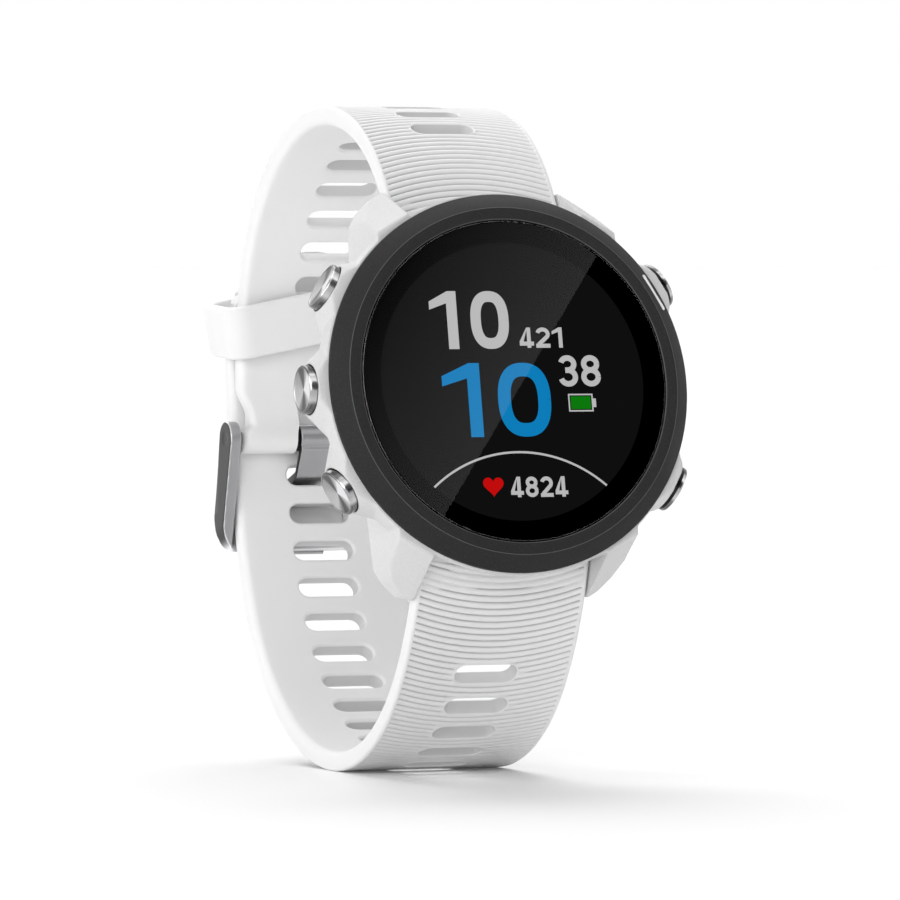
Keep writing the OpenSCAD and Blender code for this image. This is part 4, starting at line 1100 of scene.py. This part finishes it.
piece = carry(makeCase(caseShell), "case", "case_polymer", "middle_case")
print("case", len(piece.data.polygons), "faces")


crossPlate = {"from": 77.0, "to": 79.9, "lie": 2.1, "radius": 0.7, "half": 11.0, "widest": 79.0,
              "barRadius": 1.95, "across": (10.35, 11.65), "barEnd": 1.15}
frameLook = {"voxel": 0.1, "soften": 20, "aside": 0.0, "paintedSheen": 0.9}
tongueLook = {"voxel": 0.07, "soften": 10, "aside": -0.6, "paintedSheen": 0.0}
# where the painted dark flank, the painted highlight lines and the painted sheen fall
buckleTone = {"flank": (0.66, 0.9), "edgeAt": 0.55, "edgeWidth": 0.14, "inward": (0.3, 0.7),
              "brighter": (-7, 5), "shineInset": 0.8}


def plateSolid(p):
    # the cross bar goes on behind the next strap slot
    place, away = followStrap(lowerStrap, np.linspace(p["from"], p["to"], 6))
    low, high = place + away * (p["lie"] - p["radius"]), place + away * (p["lie"] + p["radius"])
    return acrossX([*low, *high[::-1]], -p["half"], p["half"])


def crescents(p):
    # each arm widens from the bar to the cross bar's far edge
    place = followStrap(upperStrap, [strapLength(upperStrap)])[0]
    bar = np.array([-place[0][0], place[0][1]])
    place, away = followStrap(lowerStrap, [p["widest"]])
    circle = np.array([(math.cos(t), math.sin(t)) for t in np.linspace(0, 2 * math.pi, 33)[:-1]])
    points = [*(bar + p["barRadius"] * circle), *(place[0] + p["lie"] * away[0] + p["radius"] * circle)]
    outline = [points[i] for i in convex_hull_2d([Vector(q) for q in points])]
    left, right = (acrossX(outline, *(side * x for x in p["across"])) for side in (-1, 1))
    return joined(left, right)


def softened(name, node, look, extra=None):
    # copy of a solid under one skin with rounded edges, laid along its length for an even skin
    mesh = nodes[node].data
    verts, faces = coordsOf(mesh) * 1000, [list(p.vertices) for p in mesh.polygons]
    middle = verts.mean(axis=0)
    flat = (verts - middle)[:, 1:]
    b, c = np.linalg.eigh(flat.T @ flat)[1][:, 1]
    turn = np.array([[1, 0, 0], [0, b, c], [0, -c, b]])
    if extra:
        verts, faces = joined((verts, faces), (toRow(extra[0]) * 1000, extra[1]))
    mesh = melted(shell(name, (verts - middle) @ turn.T, faces), look["voxel"], look["soften"])
    setCoords(mesh, (coordsOf(mesh) @ turn + middle + np.array([look["aside"], 0, 0])) / 1000)
    piece = addPiece(name, faceOut(mesh), [buckleSteel], 50)
    normals = np.empty(len(mesh.vertices) * 3, dtype=np.float32)
    mesh.vertex_normals.foreach_get("vector", normals)
    normals, co = normals.reshape(-1, 3), coordsOf(mesh)
    aside = (co[:, 0] - watchOrigin[0]) * 1000
    side = normals[:, 0] * np.sign(aside)
    # round the bar's ends the arms keep the painted dark flank
    barLow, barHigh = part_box("buckle_bar_pin")
    fromBar = (co - np.array((barLow + barHigh) / 2))[:, 1:]
    nearBar = np.linalg.norm(fromBar, axis=1) * 1000 < crossPlate["barEnd"]
    # painted sheen on the bar towards the strap, brightest at the right
    tone = buckleTone
    paintedSheen = look["paintedSheen"] * smooth(aside, *tone["brighter"]) * smooth(-normals[:, 1], *tone["inward"])
    paintedSheen *= np.abs(aside) < crossPlate["across"][0] - tone["shineInset"]
    edge = np.maximum(paintedSheen, np.exp(-((side - tone["edgeAt"]) / tone["edgeWidth"]) ** 2))
    setAttribute(mesh, "flank", np.where(nearBar, 1.0, smooth(side, *tone["flank"])))
    setAttribute(mesh, "edge", np.where(nearBar, 0.0, edge))
    return piece


wider = joined(plateSolid(crossPlate), crescents(crossPlate))
carry(softened("buckleFrame", "buckle_frame", frameLook, wider), "buckle", "buckle_steel", "buckle_frame")
carry(softened("buckleTongue", "buckle_tongue", tongueLook), "tongue", "buckle_steel", "buckle_tongue")

solidFinish = {
    "lens_seal": inkBlack, "display_module": windowBlack, "rear_cover": backGrey, "case_gasket": sealBlack,
    "rear_screws": pinSteel, "sensor_window": windowBlack, "sensor_board": boardGreen,
    "charging_contacts": contactGold, "chassis": chassisGrey, "main_board": boardGreen,
    "shield_can": foilSilver, "battery": foilSilver, "motor_can": foilSilver, "motor_rotor": pinSteel,
    "buzzer": contactGold, "antenna_ring": contactGold, "tact_switches": chassisGrey,
    "button_seals": sealBlack, "buckle_bar_pin": pinSteelPaintedShade, "upper_spring_bar": pinSteel,
    "lower_spring_bar": pinSteel, "upper_release_pin": pinSteel, "lower_release_pin": pinSteel}
solidFinish.update({label + "_clip": pinSteel for label in buttons})
for node, material in solidFinish.items():
    nodes[node].data.materials.clear()
    nodes[node].data.materials.append(material)
print("solids finished")


cameraSet = {"offset": (-313.5525, -762.0836, 13.5023), "right": (0.9280097, -0.3725561, 0.0),
             "up": (0.0095054, 0.0237184, 0.9996735), "back": (-0.3724348, -0.9277065, 0.0255522),
             "lens": 304.0}
camera = bpy.data.objects.new("camera", bpy.data.cameras.new("camera"))
scene.collection.objects.link(camera)
camera.data.sensor_width = 36.0
camera.data.lens = cameraSet["lens"]
camera.data.clip_end = 50.0
axes = Matrix((cameraSet["right"], cameraSet["up"], cameraSet["back"])).transposed()
cameraPlace = Vector(watchOrigin) + Vector(cameraSet["offset"]) / 1000
camera.matrix_world = Matrix.Translation(cameraPlace) @ axes.to_4x4()
scene.camera = camera

# lamps: azimuth, elevation, strength and softness, with angles in degrees
studio = {"ambient": 0.32, "seen": 1.0}
lamps = {"keyLight": (-92, 8, 1.45, 50), "frontLight": (-30, 15, 0.85, 40), "backLight": (166, 50, 1.55, 50),
         "topLight": (150, 80, 0.7, 60)}
world = bpy.data.worlds.new("studio")
scene.world = world
world.use_nodes = True
worldTree = world.node_tree
background = worldTree.nodes["Background"]
background.inputs["Color"].default_value = (1, 1, 1, 1)
rays = worldTree.nodes.new("ShaderNodeLightPath").outputs
# metal and glass show the same white as the camera does
shown = rays["Is Camera Ray"]
for ray in ("Is Glossy Ray", "Is Transmission Ray"):
    shown = calc(worldTree, "MAXIMUM", shown, rays[ray])
level = makeNode(worldTree, "ShaderNodeMapRange",
                 {"Value": shown, "To Min": studio["ambient"], "To Max": studio["seen"]})
worldTree.links.new(level.outputs["Result"], background.inputs["Strength"])

for name, (azimuth, elevation, strength, softness) in lamps.items():
    lamp = bpy.data.lights.new(name, "SUN")
    lamp.energy = strength
    lamp.angle = math.radians(softness)
    holder = bpy.data.objects.new(name, lamp)
    scene.collection.objects.link(holder)
    (ac, az), (ec, es) = cosSin(azimuth), cosSin(elevation)
    holder.rotation_euler = Vector((az * ec, -ac * ec, es)).to_track_quat("Z", "Y").to_euler()

floorSet = {"size": 30.0, "colour": 0.93, "rough": 0.9, "lift": 0.05}
floorPaint, floorTree, floorShader = newMaterial("floorPaint", {
    "Base Color": (*grey(floorSet["colour"]), 1), "Roughness": floorSet["rough"], "Specular IOR Level": 0.0,
    "Emission Color": (1, 1, 1, 1)})
floorRays = floorTree.nodes.new("ShaderNodeLightPath").outputs
floorTree.links.new(calc(floorTree, "MULTIPLY", floorRays["Is Camera Ray"], floorSet["lift"]),
                    floorShader.inputs["Emission Strength"])
floorCorners = rect(-floorSet["size"], -floorSet["size"], floorSet["size"], floorSet["size"])
floorMesh = newMesh("floor", [(x, y, 0) for x, y in floorCorners], [[0, 1, 2, 3]])
floorMesh.materials.append(floorPaint)
floor = bpy.data.objects.new("floor", floorMesh)
scene.collection.objects.link(floor)


# cards that show only in gloss: a soft one and a dark one meet along a line across the lens
lensCards = {"lineA": (10.95, 14.04), "lineB": (-9.36, -14.66), "softSide": (-8, 8), "distance": 0.5,
             "reach": 0.16, "softLight": 0.5, "farLight": 0.07, "fall": 0.03}


def glossCard(name, verts, faces, lights):
    mesh = newMesh(name, verts, faces)
    setAttribute(mesh, "glow", lights)
    paint, tree, shader = newMaterial(name, {**unlit, "Emission Color": (1, 1, 1, 1)})
    glow = makeNode(tree, "ShaderNodeAttribute", attribute_name="glow")
    tree.links.new(glow.outputs["Fac"], shader.inputs["Emission Strength"])
    mesh.materials.append(paint)
    card = bpy.data.objects.new(name, mesh)
    scene.collection.objects.link(card)
    card.visible_camera = False
    card.visible_diffuse = False
    card.visible_shadow = False


def mirrored(point):
    # where the camera's ray goes after the lens turns it back at a point
    normal = turnToRow([0, 0, 1])[0]
    here = toRow([*point, 0])[0]
    view = np.array(camera.location) - here
    view /= np.linalg.norm(view)
    return here + (2 * (normal @ view) * normal - view) * lensCards["distance"]


edgeA, edgeB = mirrored(lensCards["lineA"]), mirrored(lensCards["lineB"])
middle = (edgeA + edgeB) / 2
edgeDir = (edgeA - edgeB) / np.linalg.norm(edgeA - edgeB)
facing = toRow([0, 0, 0])[0] - middle
facing /= np.linalg.norm(facing)
sideDir = np.cross(facing, edgeDir)
sideDir *= np.sign(sideDir @ (mirrored(lensCards["softSide"]) - middle))
reach = lensCards["reach"]
cardLights = {"softCard": (1, lensCards["softLight"], lensCards["farLight"]), "darkCard": (-1, 0, 0)}
for name, (sign, near, far) in cardLights.items():
    rows = [middle + sideDir * sign * d for d in (0.0, lensCards["fall"], reach)]
    verts = [row + edgeDir * reach * end for row in rows for end in (-1, 1)]
    glossCard(name, verts, [[0, 1, 3, 2], [2, 3, 5, 4]], [near, near, far, far, far, far])
print("stage ready")
